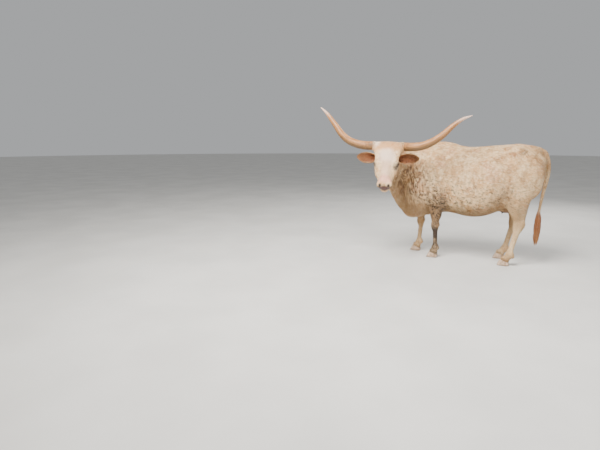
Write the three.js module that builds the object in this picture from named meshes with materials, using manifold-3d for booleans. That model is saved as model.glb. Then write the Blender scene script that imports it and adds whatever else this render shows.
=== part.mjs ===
// A life-size longhorn cow, standing square on a level floor with her head turned to her left.
// Millimetres, +Z up, hooves on z = 0. Her body runs along X, head end at -X, and -Y is her left side.
// Soft forms are described by fields, which are negative inside the form. A skin is cast outwards
// from a line inside the form to where its field is zero, ring by ring, and closed at both ends.
// Neighbouring parts are cut by each other, with a hair-thin gap left between them.

import * as THREE from 'three';
import { mergeVertices } from 'three/addons/utils/BufferGeometryUtils.js';
import Module from 'manifold-3d';

const wasm = await Module();
wasm.setup();

const GAP = 0.3;

// Driving sizes of the animal.
const WITHERS = 1352;
const KNEE = 385;
const HOCK = 452;
const FETLOCK = 128;
const CORONET = 62;
const HOOF_LENGTH = 128;
const HOOF_WIDTH = 47;
const CLEFT = 7;
const HORN_BASE = 49;
const EAR_LENGTH = 238;
const EAR_WIDTH = 142;
const EAR_THICK = 7;
const EAR_BACK = 20;
const EYE_RADIUS = 20;
const LID = 4.6;
const TAIL_ROOT = 27;
const TAIL_TIP = 222;

// Where the head hangs: the top of the forehead, how far the face tips forward from the vertical,
// how far it is turned back from the direct left, and how far its left side is let down.
const FOREHEAD_TOP = new THREE.Vector3(-898, -497, 1354);
const FACE_TIP = THREE.MathUtils.degToRad(36);
const FACE_TURN = THREE.MathUtils.degToRad(13.5);
const FACE_ROLL = THREE.MathUtils.degToRad(2);

// Fields. A point is [x, y, z].
const egg = (at, size, lean = 0) => {
  const c = Math.cos(lean);
  const s = Math.sin(lean);
  return (p) => {
    const dx = p[0] - at[0];
    const dz = p[2] - at[2];
    const x = (dx * c + dz * s) / size[0];
    const y = (p[1] - at[1]) / size[1];
    const z = (dz * c - dx * s) / size[2];
    const near = Math.hypot(x, y, z);
    const steep = Math.hypot(x / size[0], y / size[1], z / size[2]);
    return steep > 1e-9 ? (near * (near - 1)) / steep : -Math.min(...size);
  };
};

const limb = (a, ra, b, rb, flat = 1) => {
  const d = [b[0] - a[0], b[1] - a[1], b[2] - a[2]];
  const long = d[0] * d[0] + d[1] * d[1] + d[2] * d[2];
  return (p) => {
    const v = [p[0] - a[0], p[1] - a[1], p[2] - a[2]];
    const t = THREE.MathUtils.clamp((v[0] * d[0] + v[1] * d[1] + v[2] * d[2]) / long, 0, 1);
    const r = ra + (rb - ra) * t;
    return Math.hypot(v[0] - d[0] * t, (v[1] - d[1] * t) / flat, v[2] - d[2] * t) - r;
  };
};

const fuse = (soft, ...fields) => (p) => {
  let d = fields[0](p);
  for (let i = 1; i < fields.length; i += 1) {
    const e = fields[i](p);
    const h = Math.max(soft - Math.abs(d - e), 0) / soft;
    d = Math.min(d, e) - (h * h * soft) / 4;
  }
  return d;
};

const hollow = (soft, field, hole) => (p) => {
  const d = field(p);
  const e = -hole(p);
  const h = Math.max(soft - Math.abs(d - e), 0) / soft;
  return Math.max(d, e) + (h * h * soft) / 4;
};

// A repeatable draw between 0 and 1.
const seeded = (seed) => {
  let state = seed;
  return () => {
    state = (state * 1664525 + 1013904223) % 4294967296;
    return state / 4294967296;
  };
};

const paired = (field) => (p) => field([p[0], Math.abs(p[1]), p[2]]);

// A smooth run of values through stations, such as the line of the back.
const run = (xs, ys) => {
  const slope = xs.map((x, i) => {
    const a = Math.max(i - 1, 0);
    const b = Math.min(i + 1, xs.length - 1);
    return (ys[b] - ys[a]) / (xs[b] - xs[a]);
  });
  return (x) => {
    const at = THREE.MathUtils.clamp(x, xs[0], xs[xs.length - 1]);
    let i = 0;
    while (i < xs.length - 2 && at > xs[i + 1]) i += 1;
    const w = xs[i + 1] - xs[i];
    const t = (at - xs[i]) / w;
    const t2 = t * t;
    const t3 = t2 * t;
    return (2 * t3 - 3 * t2 + 1) * ys[i] + (t3 - 2 * t2 + t) * w * slope[i]
      + (3 * t2 - 2 * t3) * ys[i + 1] + (t3 - t2) * w * slope[i + 1];
  };
};

// The trunk, station by station from the chest to the rump: back line, belly line, half width and
// the height of the widest point.
const TRUNK = {
  at: [-800, -740, -640, -520, -400, -290, -180, -70, 40, 150, 250, 350, 440, 530, 605, 655, 695],
  back: [1120, 1210, 1275, 1322, WITHERS, 1345, 1328, 1311, 1315, 1325, 1333, 1341, 1348, 1335, 1308,
    1278, 1200],
  belly: [640, 520, 470, 482, 515, 538, 528, 508, 505, 528, 572, 625, 675, 715, 760, 830, 930],
  half: [70, 150, 205, 238, 258, 280, 306, 328, 338, 336, 322, 296, 262, 228, 190, 150, 95],
  wide: [860, 850, 850, 865, 870, 860, 845, 830, 820, 830, 850, 880, 930, 975, 1010, 1030, 1050],
  square: [1.7, 1.7, 1.7, 1.65, 1.62, 1.7, 1.85, 1.95, 2.0, 2.08, 2.2, 2.35, 2.5, 2.4, 2.2, 2.1, 2.0],
};
const backLine = run(TRUNK.at, TRUNK.back);
const bellyLine = run(TRUNK.at, TRUNK.belly);
const halfWidth = run(TRUNK.at, TRUNK.half);
const widest = run(TRUNK.at, TRUNK.wide);
const squareness = run(TRUNK.at, TRUNK.square);

const trunk = (p) => {
  const level = widest(p[0]);
  const rise = p[2] - level;
  const tall = rise > 0 ? backLine(p[0]) - level : level - bellyLine(p[0]);
  const power = rise > 0 ? squareness(p[0]) : 2.15;
  const y = Math.abs(p[1]) / halfWidth(p[0]);
  const z = Math.abs(rise) / tall;
  const near = Math.pow(Math.pow(y, power) + Math.pow(z, power), 1 / power);
  const far = Math.hypot(p[1], rise);
  const past = Math.max(TRUNK.at[0] - p[0], p[0] - TRUNK.at[TRUNK.at.length - 1]);
  const side = near > 1e-6 ? far - far / near : -tall;
  return past > 0 ? Math.hypot(past, Math.max(side, 0)) : Math.max(side, past);
};

// Bone and muscle that show on the trunk, for the left and right alike.
const frontMuscle = paired(fuse(60,
  limb([-385, 120, 1225], 72, [-600, 165, 880], 96),
  egg([-500, 172, 900], [150, 76, 200], -0.5),
  limb([-610, 168, 860], 90, [-430, 176, 720], 84),
));
const rearMuscle = paired(fuse(50,
  egg([545, 158, 1050], [150, 84, 170], 0.35),
  egg([585, 118, 945], [126, 84, 205], -0.12),
  egg([470, 178, 850], [140, 76, 185], 0.35),
  egg([395, 190, 765], [92, 62, 105]),
  egg([468, 172, 705], [98, 60, 150], 0.12),
  egg([610, 40, 1040], [84, 76, 170], -0.1),
));
const boneMarks = fuse(44,
  paired(egg([428, 182, 1262], [82, 52, 50], 0.15)),
  paired(egg([672, 88, 1172], [44, 40, 46])),
  egg([628, 0, 1262], [86, 42, 42], -0.3),
  egg([-395, 0, 1290], [170, 52, 66], 0.06),
  paired(egg([-635, 160, 842], [56, 46, 58])),
);
const brisket = fuse(60,
  egg([-700, 0, 560], [128, 78, 112], -0.25),
  limb([-835, -20, 660], 66, [-720, 0, 530], 78, 0.8),
);
const flankFold = paired(limb([395, 190, 770], 48, [270, 170, 690], 42, 0.6));
const flankHollow = paired(egg([322, 268, 1205], [96, 50, 80], -0.2));
const elbowHollow = paired(egg([-268, 306, 760], [58, 54, 170], 0.2));
const fleshyTrunk = fuse(70, trunk, frontMuscle, rearMuscle, brisket, flankFold);
const trunkField = hollow(40, hollow(40, fuse(64, fleshyTrunk, boneMarks), flankHollow), elbowHollow);

// The neck bends from the shoulders round to the left. Its stations give the middle line,
// the half height and the half width.
const NECK = {
  line: [[-520, 0, 1010], [-640, -10, 1045], [-745, -50, 1085], [-825, -125, 1125], [-872, -225, 1160],
    [-892, -330, 1185]],
  tall: [300, 268, 232, 196, 166, 148],
  broad: [190, 168, 142, 122, 110, 104],
};
const neckParts = NECK.line.slice(1).map((b, i) => {
  const a = NECK.line[i];
  const d = [b[0] - a[0], b[1] - a[1], b[2] - a[2]];
  const long = d[0] * d[0] + d[1] * d[1];
  return (p) => {
    const t = THREE.MathUtils.clamp(((p[0] - a[0]) * d[0] + (p[1] - a[1]) * d[1]) / long, 0, 1);
    const tall = NECK.tall[i] + (NECK.tall[i + 1] - NECK.tall[i]) * t;
    const broad = NECK.broad[i] + (NECK.broad[i + 1] - NECK.broad[i]) * t;
    const flat = Math.hypot(p[0] - a[0] - d[0] * t, p[1] - a[1] - d[1] * t);
    const rise = Math.abs(p[2] - a[2] - d[2] * t);
    const near = Math.hypot(flat / broad, rise / tall);
    const far = Math.hypot(flat, rise);
    return near > 1e-6 ? far - far / near : -broad;
  };
});

// The dewlap hangs as a curtain between the middle line of the neck and its own lower edge.
const DEWLAP = {
  top: [[-893, -420, 1200], [-890, -330, 1185], [-870, -225, 1160], [-825, -125, 1125], [-780, -85, 1100],
    [-745, -50, 1085], [-690, -25, 1060]],
  edge: [[-905, -400, 1010], [-925, -300, 905], [-932, -215, 815], [-914, -140, 740], [-888, -92, 680],
    [-862, -58, 622], [-820, -22, 560]],
  thick: 30,
};
const dewlapFaces = DEWLAP.edge.slice(1).flatMap((edge, i) => {
  const at = (p) => new THREE.Vector3(...p);
  return [
    new THREE.Triangle(at(DEWLAP.top[i]), at(DEWLAP.edge[i]), at(edge)),
    new THREE.Triangle(at(DEWLAP.top[i]), at(edge), at(DEWLAP.top[i + 1])),
  ];
});
const nearest = new THREE.Vector3();
const here = new THREE.Vector3();
const dewlap = (p) => {
  here.set(...p);
  let best = Infinity;
  for (const face of dewlapFaces) {
    face.closestPointToPoint(here, nearest);
    best = Math.min(best, nearest.distanceTo(here));
  }
  return best - DEWLAP.thick;
};
const neckField = fuse(45, ...neckParts);
const dewlapField = fuse(40, dewlap, brisket);

// The head, in its own frame: x runs down the face from the top of the forehead, y to the animal's
// left and z out of the forehead.
const EYE_AT = [250, 117, -48];
const EYE_LOOKS = new THREE.Vector3(0.06, 0.88, 0.47).normalize();
const MOUTH_LEVEL = -136;
const bothSides = (...args) => paired(fuse(40, ...args));
const skull = fuse(34,
  egg([96, 0, -84], [125, 112, 88]),
  egg([128, 0, -50], [160, 138, 54]),
  egg([14, 0, -46], [56, 165, 56]),
  limb([235, 0, -68], 68, [440, 0, -80], 54),
  limb([180, 0, -190], 58, [420, 0, -146], 34),
  egg([50, 0, -130], [84, 86, 76]),
);
const cheeks = bothSides(
  egg([58, 96, -52], [72, 62, 46]),
  egg([232, 98, -44], [60, 30, 36]),
  limb([262, 100, -84], 32, [348, 74, -104], 40),
  limb([300, 50, -108], 62, [435, 34, -112], 47),
  egg([195, 64, -150], [104, 42, 96]),
  limb([170, 66, -204], 38, [320, 42, -180], 34),
);
const muzzle = fuse(20,
  egg([482, 0, -88], [56, 80, 56]),
  paired(egg([500, 42, -84], [34, 38, 42])),
  egg([506, 0, -114], [34, 64, 26]),
  egg([504, 0, -164], [42, 50, 27]),
  limb([415, 0, -158], 32, [494, 0, -158], 28),
);
const headField = fuse(26, fuse(30, skull, cheeks), muzzle);

// Leg stations: shoulder or hip end first, then the joint heights down to the foot.
const foreLeg = (elbow, knee, fetlock, foot) => fuse(26,
  limb([elbow[0] + 8, elbow[1], elbow[2] + 20], 86, [knee[0] + 4, (elbow[1] + knee[1]) / 2, 520], 60),
  limb([knee[0] + 4, (elbow[1] + knee[1]) / 2, 520], 60, [knee[0], knee[1], KNEE + 45], 45),
  egg([knee[0] - 2, knee[1], KNEE - 4], [48, 42, 58]),
  egg([knee[0] + 34, knee[1], KNEE + 12], [18, 20, 26]),
  limb([knee[0] + 4, knee[1], KNEE - 55], 31, [fetlock[0], fetlock[1], FETLOCK + 45], 26),
  egg([fetlock[0] + 4, fetlock[1], FETLOCK], [38, 40, 38]),
  limb([fetlock[0] - 2, fetlock[1], FETLOCK - 15], 33, [foot[0] + 6, foot[1], CORONET + 6], 43),
);
const hindLeg = (stifle, hock, fetlock, foot) => fuse(24,
  limb([stifle[0] + 60, stifle[1], stifle[2]], 98, [hock[0] - 14, hock[1], HOCK + 85], 56),
  limb([hock[0] + 42, (stifle[1] + hock[1]) / 2, HOCK + 250], 34, [hock[0] + 38, hock[1], HOCK + 40], 22),
  egg([hock[0] - 4, hock[1], HOCK - 6], [56, 42, 58]),
  egg([hock[0] + 34, hock[1], HOCK + 22], [26, 24, 36]),
  limb([hock[0] - 12, hock[1], HOCK - 55], 37, [fetlock[0] + 8, fetlock[1], FETLOCK + 50], 28),
  egg([fetlock[0] + 2, fetlock[1], FETLOCK + 4], [38, 40, 38]),
  limb([fetlock[0] - 4, fetlock[1], FETLOCK - 15], 33, [foot[0] + 6, foot[1], CORONET + 6], 43),
);

// Each leg as it stands, with its joints from the top down. The last is the middle of the coronet, where
// skin meets hoof. A slanted cut at the height of part, within the yard along the body, frees it.
const LEGS = [
  {
    name: 'foreleg_left', shape: foreLeg, from: [-388, -165, 690], part: 520, yard: [-506, -272],
    joints: [[-378, -162, 690], [-390, -150, KNEE], [-378, -150, FETLOCK], [-396, -150, CORONET]],
  },
  {
    name: 'foreleg_right', shape: foreLeg, from: [-478, 165, 690], part: 500, yard: [-790, -440],
    joints: [[-480, 162, 690], [-616, 122, KNEE], [-622, 110, FETLOCK], [-652, 108, CORONET]],
  },
  {
    name: 'hindleg_left', shape: hindLeg, from: [455, -160, 745], part: 565, yard: [330, 690],
    joints: [[400, -158, 745], [505, -174, HOCK], [440, -172, FETLOCK], [394, -172, CORONET]],
  },
  {
    name: 'hindleg_right', shape: hindLeg, from: [418, 160, 745], part: 565, yard: [230, 690],
    joints: [[360, 158, 745], [450, 158, HOCK], [376, 152, FETLOCK], [326, 150, CORONET]],
  },
];

const udderField = fuse(40,
  egg([372, 0, 668], [122, 92, 96]),
  paired(egg([345, 48, 640], [66, 48, 62])),
  paired(egg([425, 44, 650], [58, 46, 64])),
);
const TEATS = [[326, -46], [326, 46], [418, -40], [418, 40]];

// The head's frame in the animal's.
const heading = new THREE.Vector3(Math.sin(FACE_TURN), -Math.cos(FACE_TURN), 0);
const down = new THREE.Vector3(0, 0, -1);
const faceWay = heading.clone().multiplyScalar(Math.sin(FACE_TIP));
faceWay.addScaledVector(down, Math.cos(FACE_TIP));
const faceOut = heading.clone().multiplyScalar(Math.cos(FACE_TIP));
faceOut.addScaledVector(down, -Math.sin(FACE_TIP));
faceWay.applyAxisAngle(faceOut, -FACE_ROLL);
const faceLeft = new THREE.Vector3().crossVectors(faceOut, faceWay);
const headMatrix = new THREE.Matrix4().makeBasis(faceWay, faceLeft, faceOut).setPosition(FOREHEAD_TOP);

// Surfaces.
const closedSkin = (rings, first, last) => {
  const sides = rings[0].length;
  const points = [first, ...rings.flat(), last];
  const index = [];
  for (let j = 0; j < sides; j += 1) {
    const k = (j + 1) % sides;
    index.push(0, 1 + j, 1 + k);
    for (let i = 0; i < rings.length - 1; i += 1) {
      const a = 1 + i * sides;
      const b = a + sides;
      index.push(a + j, b + j, a + k, a + k, b + j, b + k);
    }
    const end = 1 + (rings.length - 1) * sides;
    index.push(end + j, points.length - 1, end + k);
  }
  const geometry = new THREE.BufferGeometry().setFromPoints(points);
  geometry.setIndex(index);
  return geometry;
};

const reach = (field, from, way, offset) => {
  const at = (t) => field([from.x + way.x * t, from.y + way.y * t, from.z + way.z * t]) - offset;
  const STEP = 5;
  let near = 0;
  let far = STEP;
  while (at(far) < 0 && far < 900) {
    near = far;
    far += STEP;
  }
  for (let i = 0; i < 18; i += 1) {
    const mid = (near + far) / 2;
    if (at(mid) < 0) near = mid;
    else far = mid;
  }
  return from.clone().addScaledVector(way, near);
};

// Casts the skin of a field from a line inside it. up is roughly the direction of each ring's top.
const smoothLine = (points) => new THREE.CatmullRomCurve3(
  points.map((p) => new THREE.Vector3(...p)),
  false,
  'centripetal',
);
const castSkin = (field, line, { rings, sides, caps, up, offset = 0 }) => {
  const curve = smoothLine(line);
  const top = new THREE.Vector3(...up);
  const frame = (t) => {
    const along = curve.getTangentAt(t);
    const side = new THREE.Vector3().crossVectors(along, top).normalize();
    const high = new THREE.Vector3().crossVectors(side, along);
    return { at: curve.getPointAt(t), along, side, high };
  };
  const ring = (t, tilt) => {
    const { at, along, side, high } = frame(t);
    return Array.from({ length: sides }, (_, j) => {
      const a = (2 * Math.PI * j) / sides;
      const way = side.clone().multiplyScalar(Math.cos(a)).addScaledVector(high, Math.sin(a));
      way.multiplyScalar(Math.cos(tilt)).addScaledVector(along, Math.sin(tilt));
      return reach(field, at, way, offset);
    });
  };
  const all = [];
  for (let i = caps; i > 0; i -= 1) all.push(ring(0, (-Math.PI / 2) * (i / (caps + 1))));
  for (let i = 0; i < rings; i += 1) all.push(ring(i / (rings - 1), 0));
  for (let i = 1; i <= caps; i += 1) all.push(ring(1, (Math.PI / 2) * (i / (caps + 1))));
  const back = frame(0);
  const front = frame(1);
  return closedSkin(all,
    reach(field, back.at, back.along.clone().negate(), offset),
    reach(field, front.at, front.along, offset));
};

// A round tapered form along a line of points, such as a horn or the tail.
const taper = (line, radius, { rings, sides, up = [0, 0, 1] }) => {
  const curve = smoothLine(line);
  const top = new THREE.Vector3(...up);
  const all = [];
  for (let i = 0; i < rings; i += 1) {
    const t = i / (rings - 1);
    const along = curve.getTangentAt(t);
    const side = new THREE.Vector3().crossVectors(along, top).normalize();
    const high = new THREE.Vector3().crossVectors(side, along);
    const r = radius(t);
    all.push(Array.from({ length: sides }, (_, j) => {
      const a = (2 * Math.PI * j) / sides;
      const at = curve.getPointAt(t).addScaledVector(side, r * Math.cos(a));
      return at.addScaledVector(high, r * Math.sin(a));
    }));
  }
  return closedSkin(all, curve.getPointAt(0), curve.getPointAt(1));
};

// Solids. A mirrored form comes in with its faces turned in, and is turned back here.
const toSolid = (geometry, matrix = null) => {
  let plain = geometry.clone();
  plain.deleteAttribute('normal');
  plain.deleteAttribute('uv');
  if (matrix) plain.applyMatrix4(matrix);
  plain = mergeVertices(plain, 1e-4);
  const vertProperties = new Float32Array(plain.attributes.position.array);
  const triVerts = new Uint32Array(plain.index.array);
  const solid = new wasm.Manifold(new wasm.Mesh({ numProp: 3, vertProperties, triVerts }));
  if (solid.volume() > 0) return solid;
  for (let i = 0; i < triVerts.length; i += 3) {
    [triVerts[i + 1], triVerts[i + 2]] = [triVerts[i + 2], triVerts[i + 1]];
  }
  return new wasm.Manifold(new wasm.Mesh({ numProp: 3, vertProperties, triVerts }));
};

// The largest closed body of a solid, as a geometry.
const toGeometry = (solid) => {
  const [body] = solid.decompose().sort((a, b) => b.volume() - a.volume());
  const mesh = body.getMesh();
  const geometry = new THREE.BufferGeometry();
  geometry.setAttribute('position', new THREE.BufferAttribute(new Float32Array(mesh.vertProperties), 3));
  geometry.setIndex(new THREE.BufferAttribute(new Uint32Array(mesh.triVerts), 1));
  return geometry;
};

// Everything on the far side of a plane, as a block to cut with.
const beyond = (point, normal, size = 3000) => {
  const block = new THREE.BoxGeometry(size, size, size).translate(0, 0, size / 2);
  const turn = new THREE.Quaternion().setFromUnitVectors(new THREE.Vector3(0, 0, 1), normal);
  return toSolid(block, new THREE.Matrix4().compose(point, turn, new THREE.Vector3(1, 1, 1)));
};
const parted = (solid, point, normal, side) => {
  const from = point.clone().addScaledVector(normal, (side * GAP) / 2);
  return solid.subtract(beyond(from, normal.clone().multiplyScalar(-side)));
};

// A thick sheet between two grids of points, joined all round its border.
const thickSheet = (outer, inner) => {
  const rows = outer.length;
  const cols = outer[0].length;
  const points = [...outer.flat(), ...inner.flat()];
  const half = rows * cols;
  const index = [];
  for (let i = 0; i < rows - 1; i += 1) {
    for (let j = 0; j < cols - 1; j += 1) {
      const a = i * cols + j;
      index.push(a, a + 1, a + cols, a + 1, a + cols + 1, a + cols);
      const b = half + a;
      index.push(b, b + cols, b + 1, b + 1, b + cols, b + cols + 1);
    }
  }
  const border = [];
  for (let j = 0; j < cols; j += 1) border.push(j);
  for (let i = 1; i < rows; i += 1) border.push(i * cols + cols - 1);
  for (let j = cols - 2; j >= 0; j -= 1) border.push((rows - 1) * cols + j);
  for (let i = rows - 2; i > 0; i -= 1) border.push(i * cols);
  border.forEach((a, k) => {
    const b = border[(k + 1) % border.length];
    index.push(a, half + a, b, b, half + a, half + b);
  });
  const geometry = new THREE.BufferGeometry().setFromPoints(points);
  geometry.setIndex(index);
  return geometry;
};

const COAT = { color: 0xcdb89c, roughness: 0.85, metalness: 0 };
const HORN = { color: 0xb98a5e, roughness: 0.45, metalness: 0 };
const HOOF = { color: 0x8a7361, roughness: 0.6, metalness: 0 };
const EYE = { color: 0x120c0a, roughness: 0.1, metalness: 0 };
const SKIN = { color: 0xb98878, roughness: 0.7, metalness: 0 };
const SWITCH_HAIR = { color: 0x9a5a38, roughness: 0.8, metalness: 0 };

const longhorn = new THREE.Group();
const addMesh = (group, name, geometry, finish) => {
  const shape = geometry.clone();
  shape.computeVertexNormals();
  const mesh = new THREE.Mesh(shape, new THREE.MeshStandardMaterial(finish));
  mesh.name = name;
  group.add(mesh);
};

// Planes that part the neck from the torso, and the head from the neck. A normal points up the neck
// or, at the nape, back down it.
const NECK_CUT = {
  point: new THREE.Vector3(-560, 0, 1180),
  normal: new THREE.Vector3(-0.82, -0.06, 0.57).normalize(),
};
const NAPE_CUT = {
  point: new THREE.Vector3(60, 0, -196).applyMatrix4(headMatrix),
  normal: new THREE.Vector3(-0.42, 0, -0.91).transformDirection(headMatrix),
};

// Soft forms, each cast on its own and then joined.
const TORSO_LINE = [[-720, 0, 860], [-400, 0, 930], [0, 0, 905], [350, 0, 960], [570, 0, 1020]];
const trunkCast = { rings: 22, sides: 32, caps: 4, up: [0, 0, 1] };
const trunkSkin = toSolid(castSkin(trunkField, TORSO_LINE, trunkCast));
const NECK_SPINE = [...NECK.line, [-897, -440, 1215]];
const neckSkin = toSolid(castSkin(neckField, NECK_SPINE, { rings: 11, sides: 20, caps: 2, up: [0, 0, 1] }));
const DEWLAP_LINE = [[-898, -385, 1080], [-912, -300, 985], [-912, -215, 880], [-893, -145, 795],
  [-868, -95, 730], [-838, -55, 665], [-780, -20, 600], [-690, 0, 560]];
const dewlapCast = { rings: 13, sides: 12, caps: 2, up: [-1, 0, 0.2] };
const dewlapSkin = toSolid(castSkin(dewlapField, DEWLAP_LINE, dewlapCast));

// The head, its horn stubs and its lids.
const HEAD_LINE = [[20, 0, -84], [120, 0, -108], [250, 0, -114], [360, 0, -108], [480, 0, -106]];
const headCast = { rings: 26, sides: 30, caps: 5, up: [0, 0, 1] };
const headSkin = toSolid(castSkin(headField, HEAD_LINE, headCast), headMatrix);
const stub = taper([[34, 40, -52], [22, 100, -49], [12, 190, -46]], (t) => 60 - 9 * t, { rings: 5, sides: 16 });

// Lids bend round the eyeball as two rolls of skin that meet at its corners.
const eyeAlong = new THREE.Vector3(1, 0, 0).addScaledVector(EYE_LOOKS, -EYE_LOOKS.x).normalize();
const eyeUp = new THREE.Vector3().crossVectors(EYE_LOOKS, eyeAlong);
const eyeTurn = new THREE.Matrix4().makeBasis(eyeAlong, eyeUp, EYE_LOOKS).setPosition(...EYE_AT);
const lid = (open, weight) => {
  const line = Array.from({ length: 7 }, (_, i) => {
    const a = THREE.MathUtils.lerp(-1.05, 1.05, i / 6);
    const b = open * Math.cos((a * Math.PI) / 2.24);
    const at = new THREE.Vector3(Math.sin(a), Math.sin(b) * Math.cos(a), Math.cos(b) * Math.cos(a));
    return at.multiplyScalar(EYE_RADIUS + LID * 0.35).applyMatrix4(eyeTurn).toArray();
  });
  const radius = (t) => LID * (0.55 + 0.45 * Math.sin(Math.PI * t)) * weight;
  return taper(line, radius, { rings: 7, sides: 5, up: EYE_LOOKS.toArray() });
};

// The mouth is a groove round the front of the muzzle, back to its corners.
const MOUTH_MIDDLE = new THREE.Vector3(445, 0, MOUTH_LEVEL);
const mouth = () => {
  const upper = [];
  const lower = [];
  const turns = 14;
  for (let i = 0; i <= turns; i += 1) {
    const side = (2 * i) / turns - 1;
    const way = new THREE.Vector3(Math.cos(2 * side), Math.sin(2 * side), 0);
    const skin = reach(headField, MOUTH_MIDDLE, way, 0);
    const deep = 11 * (1 - 0.6 * side * side);
    const level = MOUTH_LEVEL + 12 * side * side;
    [upper, lower].forEach((grid, k) => {
      const apart = k === 0 ? 1 : -1;
      grid.push([[-deep, 0.7], [8, 3.2]].map(([out, half]) => {
        const q = skin.clone().addScaledVector(way, out);
        return q.setZ(level + apart * half);
      }));
    });
  }
  return thickSheet(upper, lower);
};

// A nostril is a comma that opens forward and outward.
const MUZZLE_MIDDLE = new THREE.Vector3(468, 0, -92);
const NOSTRIL_WAYS = [[0.62, 0.42, 0.68], [0.56, 0.62, 0.56], [0.5, 0.82, 0.26], [0.44, 0.9, -0.04]];
const nostrilLine = NOSTRIL_WAYS.map((way) => {
  const skin = reach(headField, MUZZLE_MIDDLE, new THREE.Vector3(...way).normalize(), 0);
  return skin.toArray();
});
const nostrilRadius = (t) => 4 + 8 * Math.sin(Math.PI * Math.min(1, 0.14 + t * 0.8));
const nostril = taper(nostrilLine, nostrilRadius, { rings: 6, sides: 7, up: [1, 0, 0.4] });
const mirrored = (geometry) => geometry.clone().applyMatrix4(new THREE.Matrix4().makeScale(1, -1, 1));
const eyeHole = new THREE.SphereGeometry(EYE_RADIUS + GAP, 12, 8).translate(...EYE_AT);

const joinAll = (solids) => solids.reduce((sum, solid) => sum.add(solid));
const onBothSides = (shape) => [toSolid(shape, headMatrix), toSolid(mirrored(shape), headMatrix)];
const headFlesh = joinAll([headSkin, ...onBothSides(stub)]);
const flesh = { head: headFlesh, neck: joinAll([neckSkin, dewlapSkin]), trunk: trunkSkin };

// Horns leave the skull sideways, sweep forward and up, and end in pale points that turn back.
const HORN_LEFT = [[-633, -487, 1312], [-517, -506, 1323], [-408, -516, 1366], [-305, -515, 1436],
  [-207, -501, 1532], [-112, -477, 1604], [-18, -445, 1643]];
const HORN_RIGHT = [[-1160, -500, 1325], [-1243, -522, 1338], [-1346, -554, 1379],
  [-1431, -571, 1449], [-1523, -572, 1567], [-1636, -557, 1698], [-1730, -530, 1773]];
const hornRadius = (t) => HORN_BASE * Math.pow(1 - Math.pow(t, 2.1), 0.72) * (1 - 0.12 * t) + 1.6;
const HORN_SEAT = [12, 178, -46];
const stubEnd = (side) => ({
  point: new THREE.Vector3(HORN_SEAT[0], side * HORN_SEAT[1], HORN_SEAT[2]).applyMatrix4(headMatrix),
  normal: new THREE.Vector3(-0.03, side, 0.02).normalize().transformDirection(headMatrix),
});
for (const [name, line, side] of [['horn_left', HORN_LEFT, 1], ['horn_right', HORN_RIGHT, -1]]) {
  const { point, normal } = stubEnd(side);
  const root = point.clone().addScaledVector(normal, -40);
  const shaft = [root.toArray(), point.clone().addScaledVector(normal, 12).toArray(), ...line];
  const whole = toSolid(taper(shaft, hornRadius, { rings: 24, sides: 14 }));
  addMesh(longhorn, name, toGeometry(parted(whole, point, normal, 1)), HORN);
}

// Head node.
const lids = [lid(0.62, 1.15), lid(-0.5, 0.95)];
let head = joinAll([flesh.head, flesh.neck, ...lids.flatMap(onBothSides)]);
head = parted(head, NAPE_CUT.point, NAPE_CUT.normal, -1);
for (const shape of [...onBothSides(eyeHole), toSolid(mouth(), headMatrix), ...onBothSides(nostril)]) {
  head = head.subtract(shape);
}
for (const side of [1, -1]) {
  const { point, normal } = stubEnd(side);
  head = parted(head, point, normal, -1);
}

// An ear is a cupped leaf: a rolled stalk that opens toward its middle and closes to a blunt tip.
const earWidth = (t) => {
  const swell = 0.34 + 0.66 * Math.pow(Math.sin(Math.PI * Math.min(1, 0.06 + t * 0.72)), 0.9);
  return EAR_WIDTH * swell * Math.pow(Math.max(0, 1 - Math.pow(t, 3.4)), 0.6);
};
const ear = () => {
  const outer = [];
  const inner = [];
  const rows = 10;
  const cols = 9;
  for (let i = 0; i <= rows; i += 1) {
    const t = Math.sin((i / rows) * Math.PI * 0.5);
    const curl = THREE.MathUtils.lerp(2.25, 0.8, Math.min(1, t * 1.7)) * (1 - 0.2 * t);
    const half = Math.max(earWidth(t) / 2, 5);
    const r = half / Math.sin(Math.min(curl, Math.PI / 2));
    const thick = Math.min(EAR_THICK * (1.3 - 0.7 * t), r * 0.5);
    const sag = 4 * (1 - t) - 14 * t * t;
    const rowOut = [];
    const rowIn = [];
    for (let j = 0; j <= cols; j += 1) {
      const a = THREE.MathUtils.lerp(-curl, curl, j / cols);
      const rim = 1 - 0.55 * Math.pow(Math.abs((2 * j) / cols - 1), 6);
      for (const [row, q] of [[rowOut, r], [rowIn, r - thick * rim]]) {
        row.push(new THREE.Vector3(q * Math.sin(a) + sag, EAR_LENGTH * t, r - q * Math.cos(a) - EAR_BACK));
      }
    }
    outer.push(rowOut);
    inner.push(rowIn);
  }
  return thickSheet(outer, inner);
};
const EAR_ROOT = [112, 118, -132];
const earAim = (side, droop) => {
  const way = new THREE.Vector3(droop, side, -0.05).normalize();
  const wide = new THREE.Vector3(Math.cos(FACE_TIP), 0, -Math.sin(FACE_TIP));
  wide.addScaledVector(way, -wide.dot(way)).normalize();
  const open = new THREE.Vector3().crossVectors(wide, way).multiplyScalar(side);
  const turn = new THREE.Matrix4().makeBasis(wide, way, open);
  turn.setPosition(EAR_ROOT[0], EAR_ROOT[1] * side, EAR_ROOT[2]);
  return headMatrix.clone().multiply(turn);
};
const headCutter = toSolid(castSkin(headField, HEAD_LINE, { ...headCast, offset: GAP }), headMatrix);
for (const [name, side, droop] of [['ear_left', 1, 0.03], ['ear_right', -1, 0.03]]) {
  const leaf = toSolid(ear(), earAim(side, droop)).subtract(headCutter).subtract(neckSkin);
  addMesh(longhorn, name, toGeometry(leaf), COAT);
}
addMesh(longhorn, 'head', toGeometry(head), COAT);

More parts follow.
